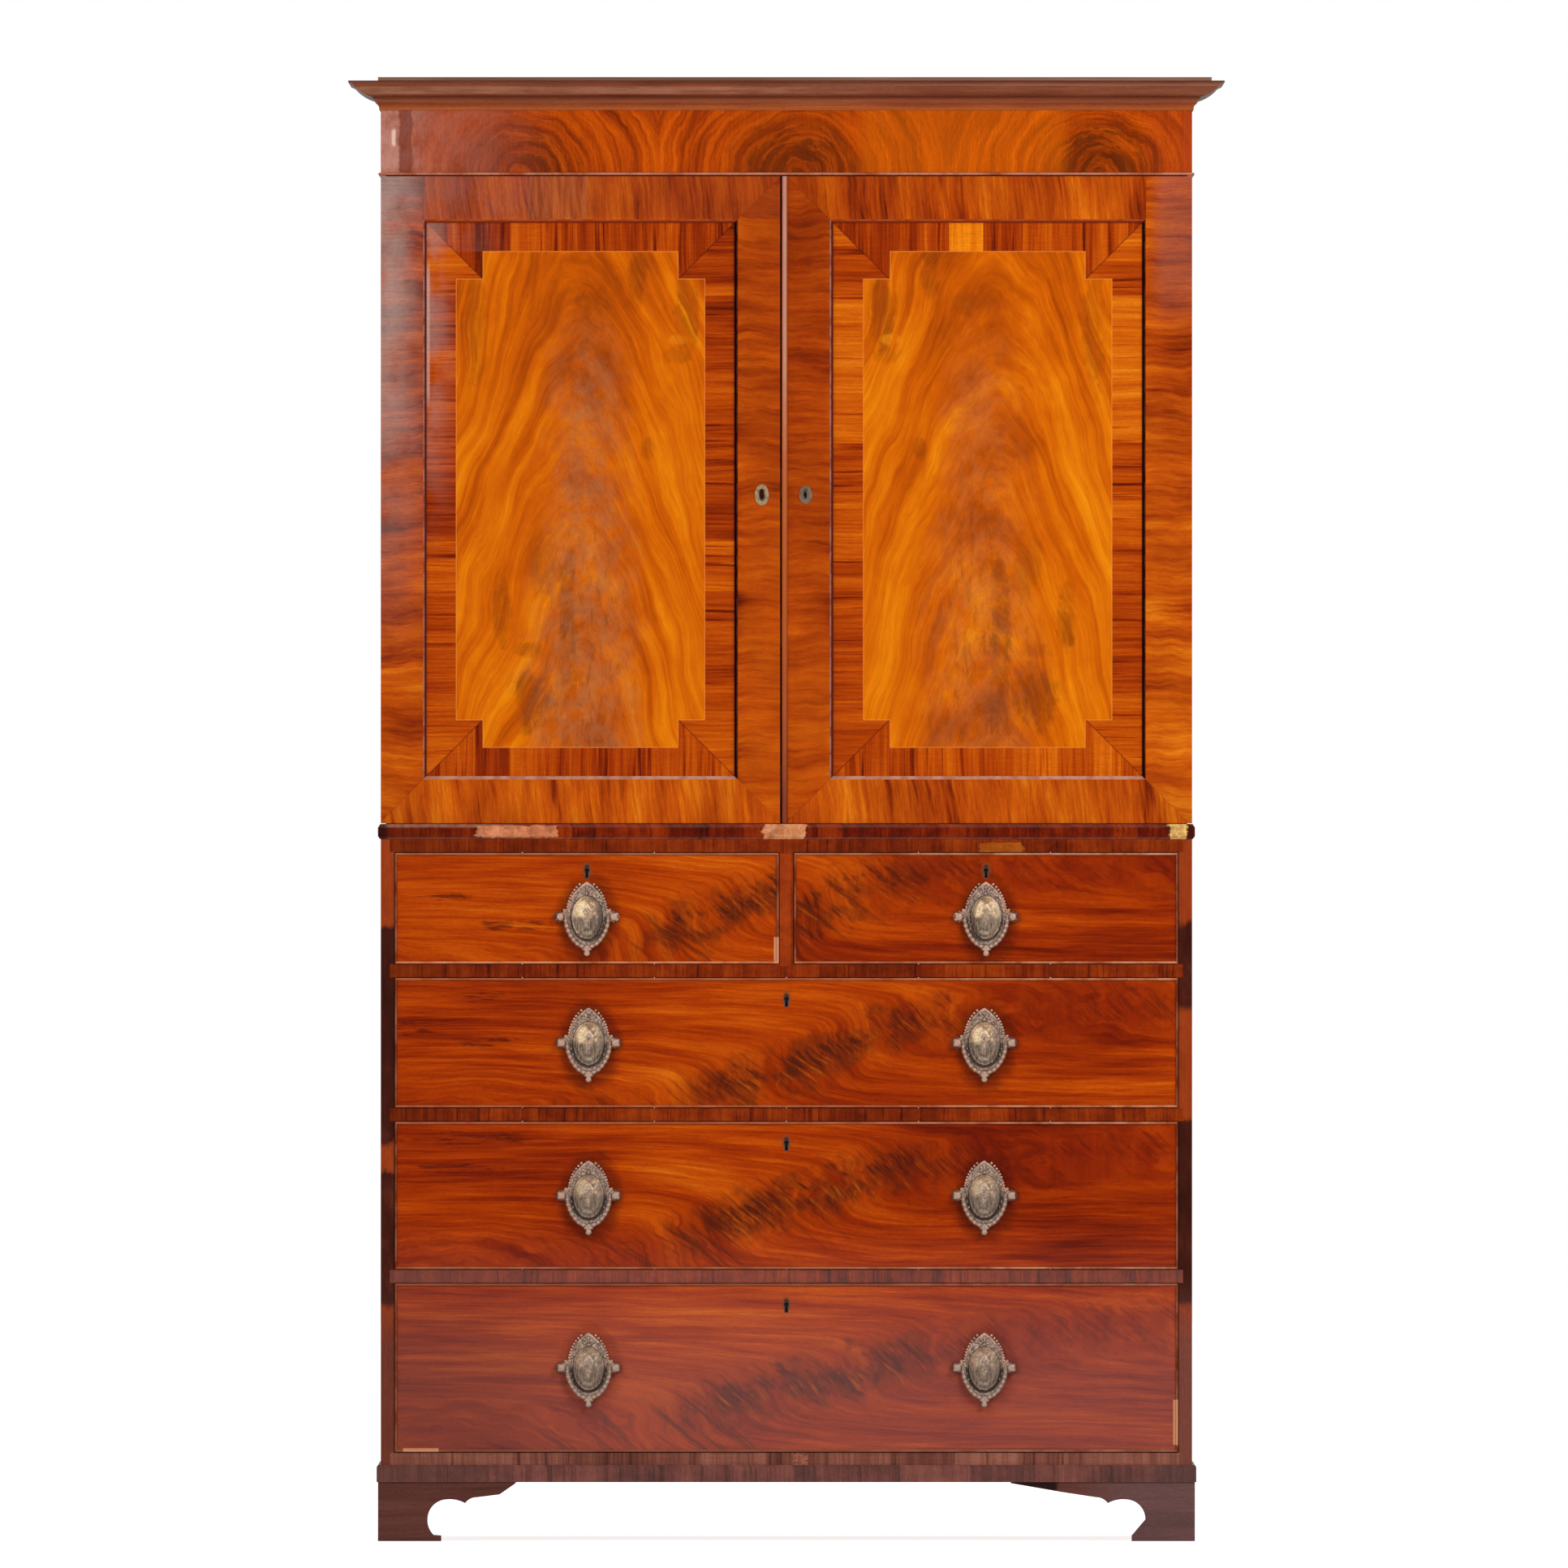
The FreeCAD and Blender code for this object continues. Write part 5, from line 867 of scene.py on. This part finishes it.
def drawer_material(name):
    """Figured veneer: level grain that falls across a dark feather."""
    paint = Paint(f"{name}_drawer_veneer")
    low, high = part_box(f"{name}_drawer_front")
    x, z = paint.x, paint.z
    seed = DRAWERS.index(name) * 3.0
    spine = follow(paint, x, SPINES[name])
    drop = spine - z
    start = SPINES[name][0][0] * MM
    wave = paint.noise(x * 3, z * 7, seed, rough=0.5) - 0.5
    ripple = paint.noise(x * 16, z * 30, seed + 9, detail=2, rough=0.5) - 0.5
    fold = paint.ease(drop + ripple * 0.02, -0.06, 0.06) * 0.052
    sweep = paint.ease(drop, -0.16, 0.16) * 0.07 * x.ease(start - 0.25, start + 0.15)
    line = z + fold + sweep + wave * 0.016 + ripple * 0.002
    broad = paint.noise(line * 20, x * 1.8, seed + 1, detail=4)
    streak = paint.noise(line * 95, x * 3.5, seed + 2, detail=4, rough=0.66)
    fine = paint.noise(line * 330, x * 9, seed + 3, detail=2)
    shift = {"short_left": 0.04, "short_right": -0.055, "shallow": 0.0,
             "middle": -0.04, "deep": -0.02}[name]
    warm = x.within(-0.16, 0.12, 0.12) * drop.ease(0.0, -0.05) * 0.08
    deep_red = x.ease(0.1, 0.4) * 0.03
    if name == "shallow":
        deep_red = x.ease(-0.1, -0.4) * 0.03 - x.ease(0.1, 0.4) * 0.03
    level = broad * 0.8 + streak * 0.75 + fine * 0.3 - 0.43 + shift + warm - deep_red
    paint.colour = paint.ramp(level, (0.22, "#651300"), (0.38, "#8C2600"), (0.52, "#A83800"),
                              (0.68, "#C25004"), (0.86, "#DA7410"))

    # The feather: short strokes that fall to the right across the rising spine.
    along = x * 0.77 - z * 0.64 + wave * 0.04
    across = x * 0.64 + z * 0.77 + wave * 0.05
    strokes = paint.noise(across * 150, along * 17, seed + 7, detail=4, rough=0.65)
    torn = paint.noise(across * 60, along * 12, seed + 4, detail=4, rough=0.7) - 0.5
    body = abs(drop + torn * 0.15 + (strokes - 0.5) * 0.06).ease(0.036, 0.006)
    gaps = paint.noise(x * 13, z * 18, seed + 5).ease(0.36, 0.54)
    reach = x.ease(start + 0.02, start + 0.14)
    field = body * (gaps * 0.85 + 0.15) * reach
    away = x.ease(0.10, 0.32)
    cloud = paint.noise(x * 24, z * 30, seed + 16, detail=4, rough=0.65)
    smoke = abs(drop + (cloud - 0.5) * 0.16).ease(0.05, 0.006) * reach * (gaps * 0.8 + 0.2)
    paint.lay(smoke * (0.6 - away * 0.2), paint.mix(away, "#602408", "#801A04"))
    light = field * strokes.ease(0.46, 0.34) * (1 - away)
    paint.lay(light * 0.35, "#C46C10")
    feather = (field * strokes.ease(0.42, 0.60)).least(1.0)
    paint.lay(feather * (0.8 - away * 0.35), paint.mix(away, "#3C1408", "#4E0E02"))

    # Thin lines that sweep down to the right before and under the feather.
    hairs = paint.noise(across * 75, along * 4, seed + 12, detail=4)
    near = drop.within(-0.01, 0.07, 0.04) * x.within(start - 0.08, start + 0.12, 0.1)
    paint.lay(near * hairs.ease(0.50, 0.62) * 0.6, "#5A1C04")
    tails = drop.within(-0.03, 0.07, 0.03) * x.ease(start - 0.05, start + 0.1)
    tails = tails * x.ease(start + 0.42, start + 0.2)
    paint.lay(tails * hairs.ease(0.54, 0.66) * 0.45, "#5A1C04")
    for mark_x, mark_y, reach_x, reach_y in MARKS[name]:
        centre = (column(mark_x), row(mark_y))
        spot = blot(x, z, centre, (reach_x * PIXEL, reach_y * PIXEL), torn * 4.0)
        ragged = paint.noise(x * 16, line * 190, seed + 15, rough=0.65).ease(0.46, 0.58)
        paint.lay(spot * ragged * 0.75, "#4E1204")

    shade, relief = fibres(paint, x, line, seed)
    paint.shade(shade)
    # The polish is dull and bluish low down.
    dim = z.ease(0.47, 0.20)
    paint.lay(dim * 0.26, "#8A7070")
    paint.shade(1 - dim * x.ease(-0.2, -0.5) * 0.28)
    paint.lay(edge_of_front(paint, low, high), bead_colour(paint, name, low, high))
    for left, right, foot, head in BEAD_LOSSES.get(name, ()):
        hole = x.columns(left, right) * z.rows(foot, head)
        paint.lay(hole * 0.85, "#D8956C")

    # The back of the front is bare. A painted shadow darkens the polish round the handles, and
    # painted shade darkens each keyhole inside a brown halo.
    inner = paint.y.ease(FRONT + 11 * MM, FRONT + 13 * MM)
    paint.lay(inner, "#9A6A42")
    short = name.startswith("short")
    key_x = (low.x + high.x) / 2 if short else 0.0
    for handle, _, middle, ear in handles():
        if handle == name:
            across = (x - middle - 2 * MM) / (39 * MM)
            up = (z - ear + 4 * MM) / (56 * MM)
            # Painted shadow round the handle.
            handle_shadow = (across * across + up * up + torn * 1.5).ease(1.7, 0.8)
            paint.lay(handle_shadow * (0.55 - dim * 0.35), "#4A1002")
    key_z = high.z - (24.5 if short else 29.5) * MM
    by_key = blot(x, z, (key_x, key_z + MM), (7.4 * MM, 11.5 * MM), torn * 0.8)
    paint.lay(by_key * 0.8, "#784428")
    # Painted shade in the keyhole: a near-black pit on the veneer and on the hole's walls.
    pit = blot(x, z, (key_x, key_z), (4.4 * MM, 8.6 * MM), torn * 0.4)
    paint.lay(pit * 0.9, "#1C0E08")
    hole = x.within(key_x - 6 * MM, key_x + 6 * MM)
    hole = hole * z.within(key_z - 12 * MM, key_z + 12 * MM)
    paint.lay(hole * paint.y.ease(FRONT + 0.4 * MM, FRONT + MM), "#0C0705")
    rough = paint.blend(inner, 0.34, 0.7)
    return paint.polish(rough, relief)


# ---------------------------------------------------------------- handles and fittings


def brass_material(name, base, dirt, near, far, pit=None):
    """Brass with brown dirt that fades with the distance out from the drawer."""
    paint = Paint(name)
    depth = paint.y.ease(near, far)
    patch = paint.cloud(160, detail=4, rough=0.65)
    grime = (depth * 1.1 - patch.ease(0.3, 0.75) * 0.5).most(0.0).least(1.0)
    tarnish = paint.cloud(60, rough=0.5).ease(0.4, 0.7)
    metal = paint.mix(tarnish * 0.35, base, "#8A6A48")
    paint.colour = paint.mix(grime * 0.85, metal, dirt)
    # The keyhole is painted near-black: painted shade in the hole.
    if pit is not None:
        hole = blot(paint.x, paint.z, *pit, (patch - 0.5) * 0.6)
        paint.lay(hole, "#1C120C")
    rough = paint.blend(grime, patch * 0.18 + 0.28, 0.62)
    return paint.finish(rough, patch, 0.00012, Metallic=0.9)


def handles():
    """Each handle's drawer, bail node, middle x and the height of its ears."""
    for name in DRAWERS:
        ends = ("",) if name.startswith("short") else ("_left", "_right")
        for end in ends:
            bail = f"{name}{end}_bail"
            low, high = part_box(bail)
            yield name, bail, (low.x + high.x) / 2, high.z - 2.6 * MM


def handle_brass():
    """Old gilt brass, brown with dirt and painted shade in the hollows, cream with a painted
    highlight on the boss, and painted shade on its lower half.
    """
    paint = Paint("handle_brass")
    ear_rows = sorted({round(z, 5) for _, _, _, z in handles()})
    spread = {round(abs(x), 4) for name, _, x, _ in handles() if not name.startswith("short")}
    rest = paint.z - ear_rows[0]
    for below, above in zip(ear_rows, ear_rows[1:]):
        rest = rest - (paint.z > (below * 0.45 + above * 0.55)) * (above - below)
    w = rest * 1000
    u = (abs(paint.x) - spread.pop()) * 1000 * paint.math("SIGN", paint.x)
    low_down = paint.z.ease(0.85, 0.3)
    out = (FRONT - paint.y) * 1000
    grain = paint.cloud(300, detail=4, rough=0.7)
    patch = paint.cloud(110)
    paint.colour = paint.ramp(grain, (0.36, "#523E32"), (0.5, "#8E7566"), (0.64, "#C0A492"))
    round_dome = hypot(paint, u / BOSS_WIDE, w / BOSS_RISE)
    # A painted shadow: a dark crescent round the lower rim of the boss.
    edge = round_dome.within(1.0, 1.14, 0.05) * w.ease(6.0, -4.0) * out.ease(4.4, 3.0)
    paint.lay(edge * (low_down * 0.15 + 0.8), "#22160E")

    # The boss: cream and brown above with a painted highlight at its upper left, painted shade
    # over its lower half, and raised relief worn pale with a painted highlight that is stronger
    # on the upper half.
    dome = round_dome.ease(1.0, 0.95) * out.ease(2.0, 3.0) * out.ease(10.8, 10.2)
    high = patch.ease(0.3, 0.7)
    top = paint.mix(high, "#72573C", "#B8926E")
    # Painted shade over the lower half, streaked.
    streak = paint.noise(u * 0.5, w * 0.06, 3.0).ease(0.35, 0.65)
    foot = paint.mix(streak, "#2A1810", "#806A56")
    boss = paint.mix((w + (patch - 0.5) * 14).ease(4.0, -3.0), top, foot)
    # A painted highlight at the boss's upper left.
    boss_highlight = blot(u, w, (-9.0, 12.0), (9.0, 14.0), (patch - 0.5) * 2.0)
    boss = paint.mix(boss_highlight * (0.85 - low_down * 0.75), boss, "#E8CA9C")
    right = blot(u, w, (15.0, 4.0), (8.0, 22.0), (patch - 0.5) * 2.0)
    boss = paint.mix(right * 0.6, boss, "#7C6C5C")
    tip = blot(u, w, (-1.0, -23.0), (8.0, 3.5), (patch - 0.5) * 4.0)
    boss = paint.mix(tip * 0.45, boss, "#A89A88")
    boss = paint.mix(low_down * 0.35, boss, "#6E5C4E")
    blotch = paint.noise(u * 0.22, w * 0.22, 9.0, detail=4, rough=0.7)
    boss = paint.tone(boss, blotch * 2.6 - 0.38)
    smooth = 1 - round_dome * round_dome
    swell = out - 1.5 - paint.math("POWER", smooth.most(0.0), 0.42) * BOSS_HEIGHT
    # Dirt and painted shade in the hollows of the relief.
    boss = paint.mix(swell.ease(0.15, -0.5) * 0.7, boss, "#3A2A1C")
    # Raised relief worn pale, with a painted highlight that is stronger on the upper half.
    shine = paint.blend(w.ease(-5.0, 4.0), 0.12, 0.55)
    crest = paint.mix(low_down, "#E0C49A", "#B4A292")
    boss = paint.mix(swell.ease(0.5, 1.4) * shine, boss, crest)
    paint.lay(dome * 0.9, boss)

    # The rim of the plate, its ears, the bail's beads and what lies behind the plate.
    rim = hypot(paint, u / 30, w / 50).ease(0.86, 0.94)
    rub = patch.ease(0.35, 0.6)
    paint.lay(rim * w.ease(4.0, 10.0) * rub * 0.7, "#CC9C84")
    ears = abs(u).ease(28.5, 31.0)
    paint.lay(ears * (rub * 0.5 + 0.35), "#9C7A66")
    bail = out.ease(4.4, 5.2) * round_dome.ease(1.02, 1.08)
    # Painted highlights on the knops and painted shade between them.
    knop_highlight = out.ease(9.4, 10.6)
    bead = paint.mix(knop_highlight, "#7C6252", "#B48E78")
    bead = paint.mix(low_down * 0.45, bead, "#8E8078")
    paint.lay(bail * (rub * 0.3 + 0.6), bead)
    ear_x = abs(u) - EAR
    disc = hypot(paint, ear_x, w)
    # Painted shadow round the ears, dark red-brown like the wood.
    paint.lay(disc.ease(5.6, 6.4) * (abs(u) > 36) * (abs(u) < 60) * 0.85, "#5E2410")
    lining = (w > 52).most(abs(u) > 60)
    paint.lay(lining * 0.9, "#2E1C14")
    paint.lay(out.ease(-0.5, -1.5), "#120C08")
    rough = paint.blend(grain, 0.5, 0.36)
    return paint.finish(rough, grain, 0.0003, Metallic=0.35, Specular_IOR_Level=0.35)


def lump(bm, place, reach, turn=0.0):
    """An ellipsoid at (x, y, z) with its three half sizes, turned in the xz plane."""
    matrix = Matrix.Translation(place) @ Matrix.Rotation(turn, 4, "Y")
    matrix = matrix @ Matrix.Diagonal((*reach, 1.0))
    bmesh.ops.create_uvsphere(bm, u_segments=12, v_segments=8, radius=1.0, matrix=matrix)


def medallion(bm, centre_x, centre_z, back_y):
    """An oval boss with a rolled edge and an urn of fruit between leafy sprays."""
    bumps = [(0, -5, 7.5, 7.5, 1.5), (0, -15, 5.5, 2, 1.2), (0, -11.5, 2.4, 2.4, 1.0),
             (0, 4.2, 8, 1.4, 1.2)]
    fruit = ((-5, 8), (0, 7.5), (5, 8), (-2.6, 12), (2.6, 12), (0, 16))
    bumps += [(x, z, 2.7, 2.7, 1.5) for x, z in fruit]
    leaves = ((11, 4), (14, -3), (14, -10), (11, -16), (6.5, -21), (10, 12), (6, 19))
    bumps += [(sign * x, z, 2.2, 3.0, 1.3) for sign in (-1, 1) for x, z in leaves]
    bumps.append((0, -24, 3.5, 2, 1.3))
    rings, spokes = 30, 72
    rows = []
    for ring in range(rings + 1):
        radius = ring / rings
        circle = []
        for spoke in range(spokes):
            turn = 2 * math.pi * spoke / spokes
            u = BOSS_WIDE * radius * math.cos(turn)
            w = (BOSS_RISE if math.sin(turn) > 0 else BOSS_DROP) * radius * math.sin(turn)
            height = BOSS_HEIGHT * max(1 - radius ** 2.2, 0.0) ** 0.42
            for x, z, wide, tall, rise in bumps:
                away = ((u - x) / wide) ** 2 + ((w - z) / tall) ** 2
                height += rise * math.exp(-away)
            height += 0.4 * math.exp(-(((radius - 0.93) / 0.03) ** 2))
            height -= 0.4 * math.exp(-(((radius - 0.85) / 0.03) ** 2))
            place = (centre_x + u * MM, back_y - height * MM, centre_z + w * MM)
            circle.append(bm.verts.new(place))
        rows.append(circle)
    for inner, outer in zip(rows, rows[1:]):
        for spoke in range(spokes):
            after = (spoke + 1) % spokes
            bm.faces.new((inner[spoke], outer[spoke], outer[after], inner[after]))
    bmesh.ops.remove_doubles(bm, verts=bm.verts, dist=1e-6)


def plate_ornament(bm, x, z, face_y):
    """A palmette over the boss, leaves down its sides and rosettes on the ears."""
    for turn in (-62, -31, 0, 31, 62):
        angle = math.radians(turn)
        reach = 8.5 - abs(turn) * 0.03
        place = (x + math.sin(angle) * reach * MM, face_y - 1.4 * MM,
                 z + (32 + math.cos(angle) * reach) * MM)
        lump(bm, place, (1.9 * MM, 1.5 * MM, 4.2 * MM), angle)
    lump(bm, (x, face_y - 1.6 * MM, z + 33 * MM), (2.6 * MM, 1.8 * MM, 2.2 * MM))
    for sign in (-1, 1):
        for u, w in ((15.5, 29), (20, 22.5), (23.5, 15.5), (25.5, 8), (25, -9), (22.5, -17)):
            place = (x + sign * u * MM, face_y - 1.2 * MM, z + w * MM)
            lump(bm, place, (1.7 * MM, 1.6 * MM, 3.3 * MM), -sign * math.radians(25))
        for step in range(1, 11):
            w = 6 + 4 * step
            u = 29.0 * (1 - (w / 51) ** 2) ** 0.62
            place = (x + sign * u * MM, face_y - 1.6 * MM, z + w * MM)
            lump(bm, place, (1.9 * MM, 1.6 * MM, 1.9 * MM))
        shoulder = ((31.5, 7.5, 3.0, 4.2), (34.0, 3.0, 3.6, 4.4), (32.5, -3.0, 3.2, 3.8))
        for u, w, wide, tall in shoulder:
            place = (x + sign * u * MM, face_y - 1.1 * MM, z + w * MM)
            lump(bm, place, (wide * MM, 1.2 * MM, tall * MM), sign * 0.5)
        ear = x + sign * EAR * MM
        for petal in range(7):
            angle = math.radians(petal * 30 - 90) * sign
            place = (ear + sign * abs(math.cos(angle)) * 6.6 * MM, face_y - 2.0 * MM,
                     z + math.sin(angle) * 6.6 * MM)
            lump(bm, place, (2.2 * MM, 2.0 * MM, 2.2 * MM))
        head = face_y - 10.0 * MM
        lump(bm, (ear, head, z), (5.0 * MM, 1.7 * MM, 5.0 * MM))
        lump(bm, (ear + sign * 3.6 * MM, head + 1.2 * MM, z + 3.4 * MM),
             (2.4 * MM, 2.0 * MM, 3.2 * MM), sign * 0.8)
        lump(bm, (ear + sign * 3.6 * MM, head + 1.2 * MM, z - 3.4 * MM),
             (2.4 * MM, 2.0 * MM, 3.2 * MM), -sign * 0.8)


def bail_knops(bm, x, z, axis_y):
    """Swelling beads along the bail, which runs in three tangent curves."""
    lower = BAIL_FOOT_RADIUS
    middle = BAIL_DROP - lower
    upper = (BAIL_HALF ** 2 + middle ** 2 - lower ** 2) / (2 * (BAIL_HALF - lower))
    bend = math.asin(middle / (upper - lower))
    run = upper * bend
    half = run + lower * (math.pi / 2 - bend)
    count = 8
    for index in range(count):
        along = half * (index + 0.75) / (count - 0.25)
        if along < run:
            angle = along / upper
            u = upper * math.cos(angle) - upper + BAIL_HALF
            w = -upper * math.sin(angle)
        else:
            angle = bend + (along - run) / lower
            u = lower * math.cos(angle)
            w = -middle - lower * math.sin(angle)
        for sign in ((-1, 1) if u > 0.5 else (1,)):
            place = (x + sign * u * MM, axis_y - 0.6 * MM, z + w * MM)
            size = (3.5 if index else 2.9) * MM
            lump(bm, place, (size, size, size), sign * angle)
    lump(bm, (x, axis_y - 0.4 * MM, z - 46.0 * MM), (7.5 * MM, 3.5 * MM, 3.6 * MM))
    lump(bm, (x, axis_y - 0.4 * MM, z - 52.3 * MM), (4.8 * MM, 4.0 * MM, 4.4 * MM))


def add_piece(name, bm, body, material):
    mesh = bpy.data.meshes.new(name)
    bm.to_mesh(mesh)
    bm.free()
    mesh.materials.append(material)
    for face in mesh.polygons:
        face.use_smooth = True
    piece = bpy.data.objects.new(name, mesh)
    bpy.context.scene.collection.objects.link(piece)
    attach(piece, body)


def add_handle_relief(material):
    """The cast relief that the plain solids of each handle carry."""
    for name, bail, x, z in handles():
        face_y = FRONT - PLATE_THICKNESS
        bm = bmesh.new()
        medallion(bm, x, z, FRONT - 1.5 * MM)
        plate_ornament(bm, x, z, face_y)
        relief = bail.replace("_bail", "_handle_relief")
        add_piece(relief, bm, nodes[f"{name}_drawer_front"]["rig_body"], material)
        bm = bmesh.new()
        bail_knops(bm, x, z, FRONT - BAIL_AXIS * MM)
        add_piece(f"{bail}_knops", bm, nodes[bail]["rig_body"], material)


# ---------------------------------------------------------------- dressing


def dress(names, material):
    for name in names:
        mesh = nodes[name].data
        mesh.materials.clear()
        mesh.materials.append(material)


def dress_the_case():
    tint = ("#521808", "#78280C", "#964016")
    side = plain_mahogany("case_side_mahogany", "z", tint, faced=side_edge)
    dress(["lower_side_left", "lower_side_right", "upper_side_left", "upper_side_right"], side)
    losses = [(1209, 1258, 1051, 1039, "#B8600E")]
    rails = banding_material("rail_crossband", ("#3E0E02", "#782404", "#A23E0A"), losses)
    dress(["front_rails"], rails)
    losses = [
        (588, 686, 1031, 1018, "#E89468"),
        (942, 991, 1034, 1015, "#E8A070"),
        (1442, 1461, 1036, 1016, "#F8CC78"),
    ]
    tint = ("#260602", "#661602", "#9A3404")
    waist = banding_material("waist_crossband", tint, losses, pitch=0.035, worn_edges=True)
    dress(["waist_moulding"], waist)
    tint = ("#34160F", "#663026", "#8E4E3E")
    base = banding_material("base_crossband", tint, hazy=-0.08, pitch=0.05)
    dress(["base_moulding"], base)
    tint = ("#48261E", "#5E362E", "#70463C")
    foot = plain_mahogany("foot_mahogany", "x", tint, dull=0.1, greyed=0.3)
    dress([f"foot_{end}_{hand}" for end in ("front", "back") for hand in ("left", "right")], foot)
    dress(["frieze"], frieze_material())
    dress(["cornice"], cornice_material())
    pine = bare_wood("aged_pine", "x", ("#7E5434", "#A87A50", "#C49C72"))
    tint = ("#7E4E30", "#A27048", "#BE9066")
    upright_pine = bare_wood("aged_pine_boards", "z", tint, boards=0.141)
    oak = bare_wood("drawer_lining_oak", "y", ("#8A5C3A", "#B08056", "#CCA278"))
    cover = bare_wood("cover_board_pine", "x", ("#6A4A38", "#8E6650", "#B08A72"), boards=0.135)
    dress(["lower_back", "upper_back"], upright_pine)
    dress(["lower_top", "upper_top", "upper_bottom", "dustboards"], pine)
    dress(["lower_bottom"], faced_pine())
    dress(["dust_cover"], cover)
    dress(["drawer_runners", "tray_runners"], oak)
    dress([f"{name}_drawer_box" for name in DRAWERS], oak)
    dress([f"tray_{number}" for number in (1, 2, 3, 4)], oak)


def dress_the_doors():
    for side in ("left", "right"):
        dress([f"{side}_door_frame"], door_frame_material(side))
        dress([f"{side}_door_panel"], panel_material(side))
    dress(["closing_bead"], closing_bead_material())
    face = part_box("left_door_frame")[0].y
    brass = brass_material("hinge_brass", "#B08D57", "#4A3420", face + 0.1, face + 0.2)
    dress(["case_hinge_leaves", "left_door_hinge_leaves", "right_door_hinge_leaves"], brass)
    low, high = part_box("left_door_escutcheon")
    pit = (((low.x + high.x) / 2, (low.z + high.z) / 2), (5.2 * MM, 9.4 * MM))
    pale = brass_material("bone_escutcheon", "#CDB998", "#6A5030", face + 0.001, face, pit)
    dress(["left_door_escutcheon"], pale)
    pit = ((column(992), row(609.5)), (2.6 * MM, 5.5 * MM))
    near, far = face + 0.001, face - 0.001
    dark = brass_material("dark_escutcheon", "#8A7464", "#5A4638", near, far, pit)
    dress(["right_door_lock"], dark)


def dress_the_drawers():
    brass = handle_brass()
    for name in DRAWERS:
        dress([f"{name}_drawer_front"], drawer_material(name))
        dress([f"{name}_drawer_fittings"], brass)
    dress([name for name in nodes if name.endswith("_bail")], brass)
    add_handle_relief(brass)


# ---------------------------------------------------------------- studio


def light(name, place, aim, size, power):
    lamp = bpy.data.lights.new(name, "AREA")
    lamp.shape = "RECTANGLE"
    lamp.size, lamp.size_y = size
    lamp.energy = power
    lamp_object = bpy.data.objects.new(name, lamp)
    bpy.context.scene.collection.objects.link(lamp_object)
    lamp_object.location = place
    direction = Vector(aim) - Vector(place)
    lamp_object.rotation_euler = direction.to_track_quat("-Z", "Y").to_euler()


def seen_rays(tree):
    """1 for camera, glossy and transmission rays, 0 for the rest."""
    rays = tree.nodes.new("ShaderNodeLightPath")
    total = None
    for name in ("Is Camera Ray", "Is Glossy Ray", "Is Transmission Ray"):
        output = rays.outputs[name]
        if total is None:
            total = output
            continue
        node = tree.nodes.new("ShaderNodeMath")
        node.operation = "MAXIMUM"
        tree.links.new(total, node.inputs[0])
        tree.links.new(output, node.inputs[1])
        total = node.outputs[0]
    return total


def build_floor():
    mesh = bpy.data.meshes.new("studio_floor")
    reach = 30.0
    corners = [(-reach, -reach, 0), (reach, -reach, 0), (reach, reach, 0), (-reach, reach, 0)]
    mesh.from_pydata(corners, [], [(0, 1, 2, 3)])
    floor = bpy.data.objects.new("studio_floor", mesh)
    bpy.context.scene.collection.objects.link(floor)
    paint = Paint("studio_floor")
    mottle = paint.noise(paint.x, paint.y, detail=2, rough=0.5)
    paint.colour = paint.ramp(mottle, (0.0, "#F2F2F2"), (1.0, "#F6F6F6"))
    paint.finish(0.9, Specular_IOR_Level=0.0)
    paint.shader.inputs["Emission Color"].default_value = (1, 1, 1, 1)
    seen = Field(paint, seen_rays(paint.material.node_tree))
    paint.feed(paint.shader.inputs["Emission Strength"], seen * 0.8)
    mesh.materials.append(paint.material)


def build_world():
    world = bpy.data.worlds.new("studio")
    bpy.context.scene.world = world
    world.use_nodes = True
    tree = world.node_tree
    background = tree.nodes["Background"]
    background.inputs["Color"].default_value = (1, 1, 1, 1)
    strength = tree.nodes.new("ShaderNodeMapRange")
    strength.inputs["To Min"].default_value = 0.42
    strength.inputs["To Max"].default_value = 1.0
    tree.links.new(seen_rays(tree), strength.inputs["Value"])
    tree.links.new(strength.outputs[0], background.inputs["Strength"])


def build_camera():
    distance = 75.0
    height = row(PHOTO_SIZE / 2)
    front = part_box("deep_drawer_front")[0].y
    view = PHOTO_SIZE * PIXEL
    camera = bpy.data.cameras.new("camera")
    camera.sensor_width = 36
    camera.lens = camera.sensor_width * distance / view
    camera_object = bpy.data.objects.new("camera", camera)
    bpy.context.scene.collection.objects.link(camera_object)
    camera_object.location = (column(PHOTO_SIZE / 2), front - distance, height)
    camera_object.rotation_euler = (math.radians(90), 0, 0)
    bpy.context.scene.camera = camera_object


def build_studio():
    bpy.context.scene.view_settings.view_transform = "Standard"
    build_world()
    build_floor()
    build_camera()
    light("key", (2.6, -3.6, 3.2), (0.1, 0, 1.2), (1.4, 1.4), 95)
    light("fill", (-2.8, -4.2, 1.8), (0, 0, 1.0), (2.2, 2.2), 55)
    light("sheen", (-1.15, -5.3, 2.35), (-0.5, 0, 1.7), (0.35, 1.0), 9)


# ---------------------------------------------------------------- put together

dress_the_case()
dress_the_doors()
dress_the_drawers()
build_studio()
